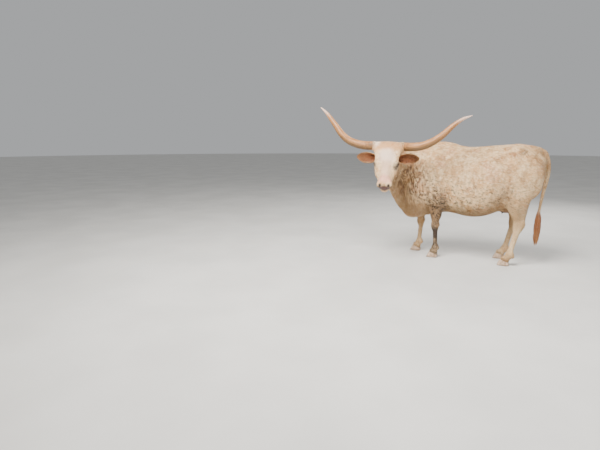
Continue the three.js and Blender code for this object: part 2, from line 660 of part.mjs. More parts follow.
// Eyes.
const headGroup = new THREE.Group();
headGroup.applyMatrix4(headMatrix);
longhorn.add(headGroup);
for (const [name, side] of [['eye_left', 1], ['eye_right', -1]]) {
  const ball = new THREE.SphereGeometry(EYE_RADIUS, 12, 8).translate(EYE_AT[0], EYE_AT[1] * side, EYE_AT[2]);
  addMesh(headGroup, name, ball, EYE);
}

// A claw stands on a flat sole; its top slopes from the toe up to the coronet and down to the heel.
const claw = (grow) => {
  const sides = 14;
  const rings = [0, 0.12, 0.5, 1].map((s) => {
    const tuck = s < 0.05 ? 1.5 : 0;
    return Array.from({ length: sides }, (_, j) => {
      const a = (2 * Math.PI * j) / sides;
      const fore = (1 - Math.cos(a)) / 2;
      const slim = 1 - 0.42 * Math.pow(1 - fore, 2.2);
      const long = HOOF_LENGTH * (1 - 0.3 * s);
      const x = -Math.cos(a) * (long / 2 + grow - tuck) + HOOF_LENGTH * 0.13 * s;
      const y = Math.sin(a) * (HOOF_WIDTH / 2 + grow - tuck) * slim * (1 - 0.06 * s);
      const top = THREE.MathUtils.lerp(CORONET + 8, CORONET - 26, fore) + grow;
      return new THREE.Vector3(x, y, s * top);
    });
  });
  const end = rings[rings.length - 1];
  const roof = end.reduce((sum, q) => sum.clone().add(q), new THREE.Vector3()).divideScalar(end.length);
  return closedSkin(rings, new THREE.Vector3(0, 0, 0), roof);
};

// Legs, each with two claws and two dewclaws. A slanted cut parts the leg from the trunk.
let torso = joinAll([flesh.trunk, flesh.neck]);
const legRoots = [];
for (const leg of LEGS) {
  const [top, joint, fetlock, foot] = leg.joints;
  const field = leg.shape(top, joint, fetlock, foot);
  const shank = [fetlock[0], fetlock[1], FETLOCK + 30];
  const line = [leg.from, [joint[0], joint[1], 560], joint, shank, [foot[0] + 14, foot[1], CORONET - 6]];
  const pieces = [toSolid(castSkin(field, line, { rings: 16, sides: 12, caps: 1, up: [-1, 0, 0.01] }))];
  for (const side of [1, -1]) {
    const knobRoot = [fetlock[0] + 18, fetlock[1] + side * 18, FETLOCK - 6];
    const knobTip = [fetlock[0] + 46, fetlock[1] + side * 27, FETLOCK - 26];
    const knob = taper([knobRoot, knobTip], (t) => 16 - 7 * t, { rings: 3, sides: 7, up: [0, 1, 0] });
    pieces.push(toSolid(knob));
  }
  const whole = joinAll(pieces);
  torso = torso.add(whole);
  const away = Math.sign(foot[1]);
  const cutPoint = new THREE.Vector3(joint[0], 60 * away, leg.part);
  const cutNormal = new THREE.Vector3(0, -0.5 * away, 0.866);
  const [yardFront, yardBack] = leg.yard;
  const yard = new THREE.BoxGeometry(yardBack - yardFront, 420, 1400);
  yard.translate((yardFront + yardBack) / 2, away * 250, 300);
  legRoots.push({ leg, whole, foot, cutPoint, cutNormal, yard: toSolid(yard) });
}
for (const { leg, whole, foot, cutPoint, cutNormal, yard } of legRoots) {
  let skin = parted(joinAll([whole, flesh.trunk]).intersect(yard), cutPoint, cutNormal, -1);
  for (const side of [1, -1]) {
    const at = [foot[0] - 14, foot[1] + (side * (HOOF_WIDTH + CLEFT)) / 2, 0];
    skin = skin.subtract(toSolid(claw(GAP), new THREE.Matrix4().makeTranslation(...at)));
    const hoof = new THREE.Group();
    hoof.position.set(...at);
    longhorn.add(hoof);
    addMesh(hoof, `${leg.name.replace('leg', 'claw')}_${side > 0 ? 'right' : 'left'}`, claw(0), HOOF);
  }
  addMesh(longhorn, leg.name, toGeometry(skin), COAT);
  const above = cutPoint.clone().addScaledVector(cutNormal, GAP / 2);
  torso = torso.subtract(yard.subtract(beyond(above, cutNormal)));
}

// Udder with four teats.
const udderCast = { rings: 6, sides: 16, caps: 3, up: [-1, 0, 0] };
let udder = toSolid(castSkin(udderField, [[372, 0, 700], [372, 0, 600]], udderCast));
for (const [x, y] of TEATS) {
  const line = [[x, y, 625], [x - 2, y * 1.06, 580], [x - 4, y * 1.08, 548]];
  udder = udder.add(toSolid(taper(line, (t) => 11.5 - 4.5 * t * t, { rings: 4, sides: 7, up: [0, 1, 0] })));
}
const trunkCutter = toSolid(castSkin(trunkField, TORSO_LINE, { ...trunkCast, offset: GAP }));
udder = udder.subtract(trunkCutter);
for (const { whole } of legRoots) udder = udder.subtract(whole);
addMesh(longhorn, 'udder', toGeometry(udder), SKIN);

// Neck and torso nodes.
const neck = parted(joinAll([flesh.neck, flesh.head, flesh.trunk]), NECK_CUT.point, NECK_CUT.normal, 1);
addMesh(longhorn, 'neck', toGeometry(parted(neck, NAPE_CUT.point, NAPE_CUT.normal, 1)), COAT);
torso = parted(torso, NECK_CUT.point, NECK_CUT.normal, -1);
addMesh(longhorn, 'torso', toGeometry(torso), COAT);

// Tail and switch.
const TAIL = [[628, 0, 1270], [684, 0, 1256], [722, 0, 1196], [742, 0, 1110], [744, 0, 1015], [733, 0, 930],
  [716, 0, 820], [702, 0, 700], [692, 0, 590]];
const tailRadius = (t) => TAIL_ROOT * (1 - 0.52 * t);
const tail = toSolid(taper(TAIL, tailRadius, { rings: 16, sides: 9, up: [0, 1, 0] })).subtract(trunkCutter);
const SWITCH_CUT = { point: new THREE.Vector3(694, 0, 612), normal: new THREE.Vector3(0, 0, -1) };
addMesh(longhorn, 'tail', toGeometry(parted(tail, SWITCH_CUT.point, SWITCH_CUT.normal, -1)), COAT);

// The switch is a bundle of flat locks that leave a short core, bend outward and hang to their points.
const SWITCH = { top: 622, lowest: 420, spread: 46, locks: 18, core: 17 };
const draw = seeded(7);
const middle = (ring) => ring[0].clone().add(ring[2]).multiplyScalar(0.5);
const lock = (start, out, length, turn) => {
  const side = new THREE.Vector3(Math.cos(turn), Math.sin(turn), 0);
  const flat = new THREE.Vector3(-side.y, side.x, 0);
  const bend = draw() * 14 - 7;
  const wide = 17 + 6 * draw();
  const rows = [0, 0.25, 0.55, 0.82, 1];
  const rings = rows.map((t) => {
    const away = out * Math.sin(Math.PI * Math.min(1, 0.08 + t * 0.62)) * (1 - 0.45 * t);
    const at = start.clone().addScaledVector(side, away).addScaledVector(flat, bend * Math.sin(3.1 * t));
    at.z -= length * t;
    const w = wide * (t < 0.3 ? 0.7 + t : 1) * (1 - Math.pow(t, 2.2)) + 1.6;
    const h = w * 0.34 + 1;
    const twist = 0.5 * bend * t * 0.12;
    return [[1, 0], [0, 1], [-1, 0], [0, -1]].map(([c, d]) => at.clone()
      .addScaledVector(flat, c * w + d * h * twist).addScaledVector(side, d * h));
  });
  return closedSkin(rings, middle(rings[0]), middle(rings[rings.length - 1]));
};
const coreLine = [[696, 0, 660], [693, 0, 610], [690, 0, 540], [687, 0, 470], [688, 0, 400]];
const coreRadius = (t) => SWITCH.core * (1 - 0.55 * t * t);
let brush = toSolid(taper(coreLine, coreRadius, { rings: 7, sides: 8, up: [0, 1, 0] }));
for (let i = 0; i < SWITCH.locks; i += 1) {
  const low = i / SWITCH.locks;
  const turn = i * 2.39996;
  const start = new THREE.Vector3(692 - 4 * low, 0, THREE.MathUtils.lerp(SWITCH.top, SWITCH.lowest, low));
  const end = THREE.MathUtils.lerp(380, TAIL_TIP, Math.pow(low, 0.6)) + 22 * draw() - 11 * low;
  const length = start.z - Math.max(end, TAIL_TIP);
  const out = SWITCH.spread * (0.5 + 0.6 * draw()) * (1 - 0.35 * low);
  brush = brush.add(toSolid(lock(start, out, length, turn)));
}
brush = parted(brush, SWITCH_CUT.point, SWITCH_CUT.normal, 1);
addMesh(longhorn, 'tail_switch', toGeometry(brush), SWITCH_HAIR);

// The origin is on the floor, under the middle of the animal's reach.
const reachBox = new THREE.Box3().setFromObject(longhorn);
longhorn.position.set(-(reachBox.min.x + reachBox.max.x) / 2, -(reachBox.min.y + reachBox.max.y) / 2, 0);

export default longhorn;
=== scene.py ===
# %% [markdown]
# # A longhorn cow at life size
# She stands on the floor with one foreleg ahead of the other, her left side to us and her head turned
# to look at us over her shoulder, as a museum would show her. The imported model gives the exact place
# and size of every part. This script dresses it: one smooth skin over all the flesh, fine horns,
# hooves, eyes and ears, and a short coat of real tufts.
# Positions below are in millimetres in the drawing frame: x = 0 at mid body with the head end at -x,
# y = 0 on the midline with her left side at -y, and z = 0 on the floor.

# %% Load the frame
import math

import bmesh
import bpy
import numpy as np
from mathutils import Matrix, Vector


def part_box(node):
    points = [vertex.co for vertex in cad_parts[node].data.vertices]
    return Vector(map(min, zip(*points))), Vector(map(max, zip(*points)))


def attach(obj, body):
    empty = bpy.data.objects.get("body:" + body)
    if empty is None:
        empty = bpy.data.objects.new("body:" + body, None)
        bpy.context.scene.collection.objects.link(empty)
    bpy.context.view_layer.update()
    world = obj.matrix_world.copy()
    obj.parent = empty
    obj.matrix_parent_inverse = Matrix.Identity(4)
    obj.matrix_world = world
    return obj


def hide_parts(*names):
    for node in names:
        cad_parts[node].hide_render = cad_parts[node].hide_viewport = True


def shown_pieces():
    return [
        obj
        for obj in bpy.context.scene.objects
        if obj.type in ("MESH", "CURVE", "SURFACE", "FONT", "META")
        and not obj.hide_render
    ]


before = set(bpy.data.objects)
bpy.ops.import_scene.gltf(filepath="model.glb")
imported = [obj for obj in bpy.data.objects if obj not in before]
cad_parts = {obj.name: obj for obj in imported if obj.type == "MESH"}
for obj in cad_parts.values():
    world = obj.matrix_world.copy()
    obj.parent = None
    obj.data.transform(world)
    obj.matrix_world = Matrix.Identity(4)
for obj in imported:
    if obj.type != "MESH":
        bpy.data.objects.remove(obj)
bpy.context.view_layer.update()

CLAW_LOW, CLAW_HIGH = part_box("foreclaw_left_left")
# That claw's toe is 472.5 mm ahead of mid body and its middle 177 mm to the left of the midline.
ORIGIN = np.array([CLAW_LOW.x + 0.4725, (CLAW_LOW.y + CLAW_HIGH.y) / 2 + 0.177, 0.0])
print("drawing frame starts at", ORIGIN.round(4))

# %% [markdown]
# ## Camera, light and floor
# The photograph was taken from 1.4 m above the ground, 5.6 m to her left and level with her thigh, with
# her at the right of the frame. A lens that is matched to it puts every joint where the photograph has
# it. A pale floor and big soft lamps give a calm studio, so the colours and the shape carry the picture.

# %% Helpers that turn drawing millimetres into scene metres
def place(point):
    """A drawing point as a scene point."""
    return Vector(ORIGIN + np.array(point, float) / 1000)


def tone(red, green, blue):
    """A colour as it is seen on a screen, 0 to 255, in the linear values that a shader needs."""
    return tuple((c / 255 / 12.92 if c <= 10 else ((c / 255 + 0.055) / 1.055) ** 2.4)
                 for c in (red, green, blue)) + (1.0,)


def in_scene(name, data):
    """A new object in the scene, from a camera, a lamp or a mesh."""
    thing = bpy.data.objects.new(name, data)
    bpy.context.scene.collection.objects.link(thing)
    return thing


# %% Camera
EYE_POINT = (561.1, -5602.0, 1400.0)
LOOKS_ALONG = Vector((-0.44366, 0.87639, -0.18738))
LENS, SENSOR = 27.06, 36.0
camera_data = bpy.data.cameras.new("camera")
camera_data.lens, camera_data.sensor_width = LENS, SENSOR
camera = in_scene("camera", camera_data)
camera.location = place(EYE_POINT)
camera.rotation_euler = LOOKS_ALONG.to_track_quat("-Z", "Y").to_euler()
bpy.context.scene.camera = camera
print("camera stands", round(camera.location.z, 3), "m above the floor")


# %% Soft lamps
def lamp(name, at, aim, size, power, colour):
    """A big square lamp at a point, aimed at another, both in drawing millimetres."""
    data = bpy.data.lights.new(name, "AREA")
    data.size, data.energy, data.color = size, power, colour
    thing = in_scene(name, data)
    thing.location = place(at)
    thing.rotation_euler = (place(aim) - place(at)).to_track_quat("-Z", "Y").to_euler()


CHEST = (-200, 0, 900)
lamp("key_lamp", (-1300, -3200, 4600), CHEST, 2.6, 640, (1.0, 0.97, 0.93))
lamp("fill_lamp", (3200, -3800, 2600), CHEST, 4.0, 100, (0.93, 0.96, 1.0))
lamp("back_lamp", (600, 4200, 3800), CHEST, 3.6, 190, (1.0, 0.98, 0.95))
world = bpy.data.worlds.new("studio")
world.use_nodes = True
world.node_tree.nodes["Background"].inputs["Color"].default_value = (0.86, 0.88, 0.9, 1)
world.node_tree.nodes["Background"].inputs["Strength"].default_value = 0.5
bpy.context.scene.world = world
print("lamps", len(bpy.data.lights))

# %% [markdown]
# ## Fields
# A soft body is easiest to describe as a field: a function that is negative inside the form, zero on
# its skin and positive outside. Eggs and limbs are simple fields, and `fuse` melts them together as
# flesh does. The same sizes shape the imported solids, apart from a softer hock, so the skin lies just
# inside them.


# %% Simple fields
def egg(at, size, lean=0.0):
    """An egg with three half widths, leaning in the x-z plane."""
    c, s = math.cos(lean), math.sin(lean)

    def field(p):
        dx, dy, dz = (p - at).T
        x, y, z = (dx * c + dz * s) / size[0], dy / size[1], (dz * c - dx * s) / size[2]
        near = np.sqrt(x * x + y * y + z * z)
        steep = np.sqrt((x / size[0]) ** 2 + (y / size[1]) ** 2 + (z / size[2]) ** 2)
        return near * (near - 1) / np.maximum(steep, 1e-9)
    return field


def limb(a, ra, b, rb, flat=1.0):
    """A rounded rod from a to b whose radius runs from ra to rb."""
    a, b = np.array(a, float), np.array(b, float)

    def field(p):
        v = p - a
        d = b - a
        t = np.clip(v @ d / (d @ d), 0, 1)
        off = v - t[:, None] * d
        off[:, 1] /= flat
        return np.sqrt((off * off).sum(1)) - (ra + (rb - ra) * t)
    return field


def rod(line, radii):
    """A chain of limbs along a line."""
    return fuse(10, *[limb(line[i], radii[i], line[i + 1], radii[i + 1]) for i in range(len(line) - 1)])


def fuse(soft, *fields):
    """The forms melted together, with creases filled over the width soft."""
    def field(p):
        d = fields[0](p)
        for other in fields[1:]:
            e = other(p)
            h = np.maximum(soft - np.abs(d - e), 0) / soft
            d = np.minimum(d, e) - h * h * soft / 4
        return d
    return field


def hollow(soft, form, hole):
    """The form with another taken out of it."""
    def field(p):
        d, e = form(p), -hole(p)
        h = np.maximum(soft - np.abs(d - e), 0) / soft
        return np.maximum(d, e) + h * h * soft / 4
    return field


def paired(form):
    """The form on the left and its mirror image on the right."""
    return lambda p: form(np.column_stack([p[:, 0], np.abs(p[:, 1]), p[:, 2]]))


def within(low, high, form):
    """The form worked out only inside a box, which saves time far from it."""
    def field(p):
        d = np.full(len(p), 900.0)
        inside = ((p > low) & (p < high)).all(1)
        if inside.any():
            d[inside] = form(p[inside])
        return d
    return field


def run(xs, ys):
    """A smooth run of values through stations, such as the line of the back."""
    xs, ys = np.array(xs, float), np.array(ys, float)
    last = len(xs) - 1
    before, after = np.maximum(np.arange(last + 1) - 1, 0), np.minimum(np.arange(last + 1) + 1, last)
    slope = (ys[after] - ys[before]) / (xs[after] - xs[before])

    def at(x):
        x = np.clip(x, xs[0], xs[-1])
        i = np.clip(np.searchsorted(xs, x) - 1, 0, last - 1)
        w = xs[i + 1] - xs[i]
        t = (x - xs[i]) / w
        return ((2 * t**3 - 3 * t**2 + 1) * ys[i] + (t**3 - 2 * t**2 + t) * w * slope[i]
                + (3 * t**2 - 2 * t**3) * ys[i + 1] + (t**3 - t**2) * w * slope[i + 1])
    return at


def smooth_line(stations):
    """A smooth line through stations: a function from 0..1 to points."""
    stations = np.array(stations, float)
    chord = np.linalg.norm(np.diff(stations, axis=0), axis=1)
    along = np.concatenate([[0], np.cumsum(chord)]) / chord.sum()
    axes = [run(along, stations[:, i]) for i in range(3)]
    return lambda t: np.column_stack([axis(np.atleast_1d(t)) for axis in axes])


# %% [markdown]
# ## The trunk, neck and legs
# A cow's trunk is a barrel hung from a nearly level back, deepest behind the elbow and hollow in front
# of the hip. Stations from chest to rump give its back line, belly line, half width and the height of
# its widest point. Muscle and bone are eggs and rods melted on.

# %% Trunk
TRUNK_AT = [-800, -740, -640, -520, -400, -290, -180, -70, 40, 150, 250, 350, 440, 530, 605, 655, 695]
back_line = run(TRUNK_AT, [1120, 1210, 1275, 1322, 1352, 1345, 1328, 1311, 1315, 1325, 1333, 1341, 1348,
                           1335, 1308, 1278, 1200])
belly_line = run(TRUNK_AT, [640, 520, 470, 482, 515, 538, 528, 508, 505, 528, 572, 625, 675, 715, 760,
                            830, 930])
half_width = run(TRUNK_AT, [70, 150, 205, 238, 258, 280, 306, 328, 338, 336, 322, 296, 262, 228, 190,
                            150, 95])
widest = run(TRUNK_AT, [860, 850, 850, 865, 870, 860, 845, 830, 820, 830, 850, 880, 930, 975, 1010,
                        1030, 1050])
squareness = run(TRUNK_AT, [1.7, 1.7, 1.7, 1.65, 1.62, 1.7, 1.85, 1.95, 2.0, 2.08, 2.2, 2.35, 2.5, 2.4,
                            2.2, 2.1, 2.0])


def barrel(p):
    """The barrel of the trunk: a rounded section at each station."""
    x, y, z = p.T
    level = widest(x)
    rise = z - level
    tall = np.where(rise > 0, back_line(x) - level, level - belly_line(x))
    power = np.where(rise > 0, squareness(x), 2.15)
    across, up = np.abs(y) / half_width(x), np.abs(rise) / tall
    near = (across**power + up**power) ** (1 / power)
    far = np.hypot(y, rise)
    side = far - far / np.maximum(near, 1e-6)
    past = np.maximum(TRUNK_AT[0] - x, x - TRUNK_AT[-1])
    return np.where(past > 0, np.hypot(past, np.maximum(side, 0)), np.maximum(side, past))


front_muscle = paired(fuse(60,
    limb([-385, 120, 1225], 72, [-600, 165, 880], 96),
    egg([-500, 172, 900], [150, 76, 200], -0.5),
    limb([-610, 168, 860], 90, [-430, 176, 720], 84)))
rear_muscle = paired(fuse(50,
    egg([545, 158, 1050], [150, 84, 170], 0.35),
    egg([585, 118, 945], [126, 84, 205], -0.12),
    egg([470, 178, 850], [140, 76, 185], 0.35),
    egg([395, 190, 765], [92, 62, 105]),
    egg([468, 172, 705], [98, 60, 150], 0.12),
    egg([610, 40, 1040], [84, 76, 170], -0.1)))
bone_marks = fuse(44,
    paired(egg([428, 182, 1262], [82, 52, 50], 0.15)),
    paired(egg([672, 88, 1172], [44, 40, 46])),
    egg([628, 0, 1262], [86, 42, 42], -0.3),
    egg([-395, 0, 1290], [170, 52, 66], 0.06),
    paired(egg([-635, 160, 842], [56, 46, 58])))
brisket = fuse(60,
    egg([-700, 0, 560], [128, 78, 112], -0.25),
    limb([-835, -20, 660], 66, [-720, 0, 530], 78, 0.8))
flank_fold = paired(limb([395, 190, 770], 48, [270, 170, 690], 42, 0.6))
flank_hollow = paired(egg([322, 268, 1205], [96, 50, 80], -0.2))
elbow_hollow = paired(egg([-268, 306, 760], [58, 54, 170], 0.2))
trunk = hollow(40, hollow(40, fuse(64, fuse(70, barrel, front_muscle, rear_muscle, brisket, flank_fold),
                                   bone_marks), flank_hollow), elbow_hollow)
print("trunk from", len(TRUNK_AT), "stations, highest at", back_line(np.array(TRUNK_AT)).max(), "mm")

# %% [markdown]
# ## Neck and dewlap
# The neck is deep and narrow and bends to her left, with a thin fold of skin, the dewlap, hanging from
# throat to brisket. The neck is upright ovals swept along its middle line. The dewlap is a row of thin
# rods from the neck down to its loose edge, melted into one sheet of flesh.

# %% Neck and dewlap
NECK_LINE = np.array([[-520, 0, 1010], [-640, -10, 1045], [-745, -50, 1085], [-825, -125, 1125],
                      [-872, -225, 1160], [-892, -330, 1185]], float)
NECK_TALL = [300, 268, 232, 196, 166, 148]
NECK_BROAD = [190, 168, 142, 122, 110, 104]


def neck_length(i):
    """One length of the neck, an upright oval swept along its middle line."""
    a, d = NECK_LINE[i], NECK_LINE[i + 1] - NECK_LINE[i]

    def field(p):
        v = p - a
        t = np.clip((v[:, 0] * d[0] + v[:, 1] * d[1]) / (d[0] ** 2 + d[1] ** 2), 0, 1)
        tall = NECK_TALL[i] + (NECK_TALL[i + 1] - NECK_TALL[i]) * t
        broad = NECK_BROAD[i] + (NECK_BROAD[i + 1] - NECK_BROAD[i]) * t
        flat = np.hypot(v[:, 0] - d[0] * t, v[:, 1] - d[1] * t)
        rise = np.abs(v[:, 2] - d[2] * t)
        far, near = np.hypot(flat, rise), np.hypot(flat / broad, rise / tall)
        return far - far / np.maximum(near, 1e-6)
    return field


neck = fuse(45, *[neck_length(i) for i in range(5)])
DEWLAP_TOP = np.array([[-893, -420, 1200], [-890, -330, 1185], [-870, -225, 1160], [-825, -125, 1125],
                       [-780, -85, 1100], [-745, -50, 1085], [-690, -25, 1060]], float)
DEWLAP_EDGE = np.array([[-905, -400, 1010], [-925, -300, 905], [-932, -215, 815], [-914, -140, 740],
                        [-888, -92, 680], [-862, -58, 622], [-820, -22, 560]], float)
rulings = [(a + (b - a) * t, c + (d - c) * t)
           for a, b, c, d in zip(DEWLAP_TOP, DEWLAP_TOP[1:], DEWLAP_EDGE, DEWLAP_EDGE[1:])
           for t in (0, 1 / 3, 2 / 3)]
dewlap = fuse(22, *[limb(top, 29, edge, 27) for top, edge in rulings])
print("dewlap from", len(rulings), "rods")

# %% [markdown]
# ## The head
# The head has its own frame: x runs down the face from the top of the forehead, y to her left and z
# out of the forehead. The face is long and straight, wide over the brow, with deep cheeks, a narrow
# bridge and a broad soft muzzle.

# %% Head frame
FOREHEAD_TOP = np.array([-898.0, -497.0, 1354.0])
FACE_TIP, FACE_TURN, FACE_ROLL = math.radians(36), math.radians(13.5), math.radians(2)
heading = Vector((math.sin(FACE_TURN), -math.cos(FACE_TURN), 0))
face_way = heading * math.sin(FACE_TIP) + Vector((0, 0, -math.cos(FACE_TIP)))
face_out = heading * math.cos(FACE_TIP) + Vector((0, 0, math.sin(FACE_TIP)))
face_way = Matrix.Rotation(-FACE_ROLL, 3, face_out) @ face_way
face_left = face_out.cross(face_way)
HEAD_AXES = np.array([face_way, face_left, face_out])
print("the face points", HEAD_AXES[0].round(2))


def to_head(p):
    """Drawing points in the head's frame."""
    return (p - FOREHEAD_TOP) @ HEAD_AXES.T


def from_head(q):
    """Head points in the drawing frame."""
    return np.asarray(q, float) @ HEAD_AXES + FOREHEAD_TOP


# %% Skull, cheeks and muzzle
EYE_AT, EYE_RADIUS = np.array([250.0, 117.0, -48.0]), 20.0
skull = fuse(34,
    egg([96, 0, -84], [125, 112, 88]),
    egg([128, 0, -50], [160, 138, 54]),
    egg([14, 0, -46], [56, 165, 56]),
    limb([235, 0, -68], 68, [440, 0, -80], 54),
    limb([180, 0, -190], 58, [420, 0, -146], 34),
    egg([50, 0, -130], [84, 86, 76]))
cheeks = paired(fuse(40,
    egg([58, 96, -52], [72, 62, 46]),
    egg([232, 98, -44], [60, 30, 36]),
    limb([262, 100, -84], 32, [348, 74, -104], 40),
    limb([300, 50, -108], 62, [435, 34, -112], 47),
    egg([195, 64, -150], [104, 42, 96]),
    limb([170, 66, -204], 38, [320, 42, -180], 34)))
muzzle = fuse(20,
    egg([482, 0, -88], [56, 80, 56]),
    paired(egg([500, 42, -84], [34, 38, 42])),
    egg([506, 0, -114], [34, 64, 26]),
    egg([504, 0, -164], [42, 50, 27]),
    limb([415, 0, -158], 32, [494, 0, -158], 28))
horn_stubs = paired(rod([[34, 40, -52], [22, 100, -49], [12, 172, -46]], [60, 56, 52]))
head = fuse(26, fuse(30, skull, cheeks), muzzle, horn_stubs)
print("eyes", round(2 * EYE_AT[1]), "mm apart")

# %% [markdown]
# ## Legs, udder and tail
# Each leg is a chain of limbs and joints: forearm, knee, cannon, fetlock and pastern in front; thigh,
# hock, cannon, fetlock and pastern behind. The stations are the joints' own places.

# %% Legs
KNEE, HOCK, FETLOCK, CORONET = 385, 452, 128, 62


def foreleg(elbow, knee, fetlock, foot):
    """The flesh of a foreleg, from its joints' places in x and y."""
    mid = (elbow[1] + knee[1]) / 2
    return fuse(26,
        limb([elbow[0] + 8, elbow[1], elbow[2] + 20], 86, [knee[0] + 4, mid, 520], 60),
        limb([knee[0] + 4, mid, 520], 60, [knee[0], knee[1], KNEE + 45], 45),
        egg([knee[0] - 2, knee[1], KNEE - 4], [48, 42, 58]),
        egg([knee[0] + 34, knee[1], KNEE + 12], [18, 20, 26]),
        limb([knee[0] + 4, knee[1], KNEE - 55], 31, [fetlock[0], fetlock[1], FETLOCK + 45], 26),
        egg([fetlock[0] + 4, fetlock[1], FETLOCK], [38, 40, 38]),
        limb([fetlock[0] - 2, fetlock[1], FETLOCK - 15], 33, [foot[0] + 6, foot[1], CORONET + 6], 43),
        *dewclaws(fetlock))


def hindleg(stifle, hock, fetlock, foot):
    """The flesh of a hind leg."""
    mid = (stifle[1] + hock[1]) / 2
    return fuse(36,
        limb([stifle[0] + 60, stifle[1], stifle[2]], 98, [hock[0] - 14, hock[1], HOCK + 55], 44),
        limb([hock[0] + 42, mid, HOCK + 250], 34, [hock[0] + 38, hock[1], HOCK + 40], 22),
        egg([hock[0] - 4, hock[1], HOCK - 6], [56, 42, 58]),
        egg([hock[0] + 34, hock[1], HOCK + 22], [26, 24, 36]),
        limb([hock[0] - 12, hock[1], HOCK - 55], 37, [fetlock[0] + 8, fetlock[1], FETLOCK + 50], 28),
        egg([fetlock[0] + 2, fetlock[1], FETLOCK + 4], [38, 40, 38]),
        limb([fetlock[0] - 4, fetlock[1], FETLOCK - 15], 33, [foot[0] + 6, foot[1], CORONET + 6], 43),
        *dewclaws(fetlock))


def dewclaws(fetlock):
    """The two small knobs behind a fetlock."""
    return [limb([fetlock[0] + 18, fetlock[1] + side * 18, FETLOCK - 6], 15,
                 [fetlock[0] + 44, fetlock[1] + side * 26, FETLOCK - 24], 9) for side in (1, -1)]


LEGS = {
    "foreleg_left": (foreleg, [-378, -162, 690], [-390, -150], [-378, -150], [-396, -150]),
    "foreleg_right": (foreleg, [-480, 162, 690], [-616, 122], [-622, 110], [-652, 108]),
    "hindleg_left": (hindleg, [400, -158, 745], [505, -174], [440, -172], [394, -172]),
    "hindleg_right": (hindleg, [360, 158, 745], [450, 158], [376, 152], [326, 150]),
}
legs = []
for shape, top, joint, fetlock, foot in LEGS.values():
    reach = np.array([top[:2], joint, fetlock, foot])
    low = [*(reach.min(0) - 190), 0]
    high = [*(reach.max(0) + 190), 980]
    legs.append(within(low, high, shape(top, joint, fetlock, foot)))
print("legs", list(LEGS))

# %% [markdown]
# ## Udder and tail
# A grown cow's udder hangs between the hind legs in quarters, each with a teat. The tail leaves the rump,
# drops behind it and thins toward the switch. Both are soft and round, so eggs and rods are enough.

# %% Udder and tail
TEATS = [[326, -46], [326, 46], [418, -40], [418, 40]]
udder = fuse(40,
    egg([372, 0, 668], [122, 92, 96]),
    paired(egg([345, 48, 640], [66, 48, 62])),
    paired(egg([425, 44, 650], [58, 46, 64])))
teats = [limb([x, y, 625], 11.5, [x - 4, y * 1.08, 556], 7.5) for x, y in TEATS]
udder = within([200, -180, 500], [560, 180, 860], fuse(14, udder, *teats))
TAIL = [[628, 0, 1270], [684, 0, 1256], [722, 0, 1196], [742, 0, 1110], [744, 0, 1015], [733, 0, 930],
        [716, 0, 820], [702, 0, 700], [692, 0, 590]]
tail_run = smooth_line(TAIL)(np.linspace(0, 1, 25))
tail = within([520, -140, 520], [860, 140, 1400], rod(tail_run, np.linspace(27, 13.5, 25)))
print("teats", len(teats), "and a tail of", len(tail_run) - 1, "lengths")

# %% All the flesh in one field
in_head = within([-1160, -960, 700], [-600, -180, 1560], lambda p: head(to_head(p)))
in_neck = within([-1200, -700, 400], [-300, 420, 1500], fuse(40, neck, dewlap))
flesh = fuse(36, fuse(46, trunk, in_neck, *legs), udder, tail, in_head)
print("the field is", round(float(flesh(np.array([[0.0, 0.0, 900.0]]))[0])), "mm at mid body")

# %% [markdown]
# ## One skin
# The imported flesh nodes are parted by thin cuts. A voxel remesh of all of them together closes those
# cuts and gives even square faces. Each point then slides along the field's slope until it lies under
# the coat, so the facets vanish, and rounds of evening out keep the faces square.

# %% Sliding points to a field
COAT_DEPTH = 4.0


def slope_of(field, points, value):
    """The field's slope at each point."""
    step = 0.5
    return np.column_stack([(field(points + step * np.eye(3)[i]) - value) / step for i in range(3)])


def settle(points, field, depth, rounds, longest=12.0, chosen=slice(None)):
    """Slides the chosen points to where the field is -depth."""
    points = points.copy()
    depth = np.broadcast_to(depth, len(points))
    for _ in range(rounds):
        some = points[chosen]
        value = field(some)
        slope = slope_of(field, some, value)
        far = (value + depth[chosen]) / np.maximum((slope * slope).sum(1), 0.05)
        move = far[:, None] * slope
        size = np.maximum(np.linalg.norm(move, axis=1), 1e-9)
        points[chosen] = some - move * np.minimum(1, longest / size)[:, None]
    return points


def evened(points, edges, share):
    """Each point moved part of the way to the middle of its neighbours."""
    count = np.bincount(edges.ravel(), minlength=len(points))
    both = np.concatenate([edges, edges[:, ::-1]])
    middle = np.column_stack([np.bincount(both[:, 0], points[both[:, 1], i], len(points)) for i in range(3)])
    return points + share * (middle / np.maximum(count, 1)[:, None] - points)


def edges_of(mesh):
    """The mesh's edges as pairs of point numbers."""
    pairs = np.empty(len(mesh.edges) * 2, np.int32)
    mesh.edges.foreach_get("vertices", pairs)
    return pairs.reshape(-1, 2)


def drawn_points(mesh):
    """The mesh's points as drawing millimetres."""
    flat = np.empty(len(mesh.vertices) * 3, np.float32)
    mesh.vertices.foreach_get("co", flat)
    return (flat.reshape(-1, 3).astype(float) - ORIGIN) * 1000


def set_points(mesh, points):
    """Puts drawing points back into a mesh."""
    mesh.vertices.foreach_set("co", (points / 1000 + ORIGIN).astype(np.float32).ravel())
    mesh.update()


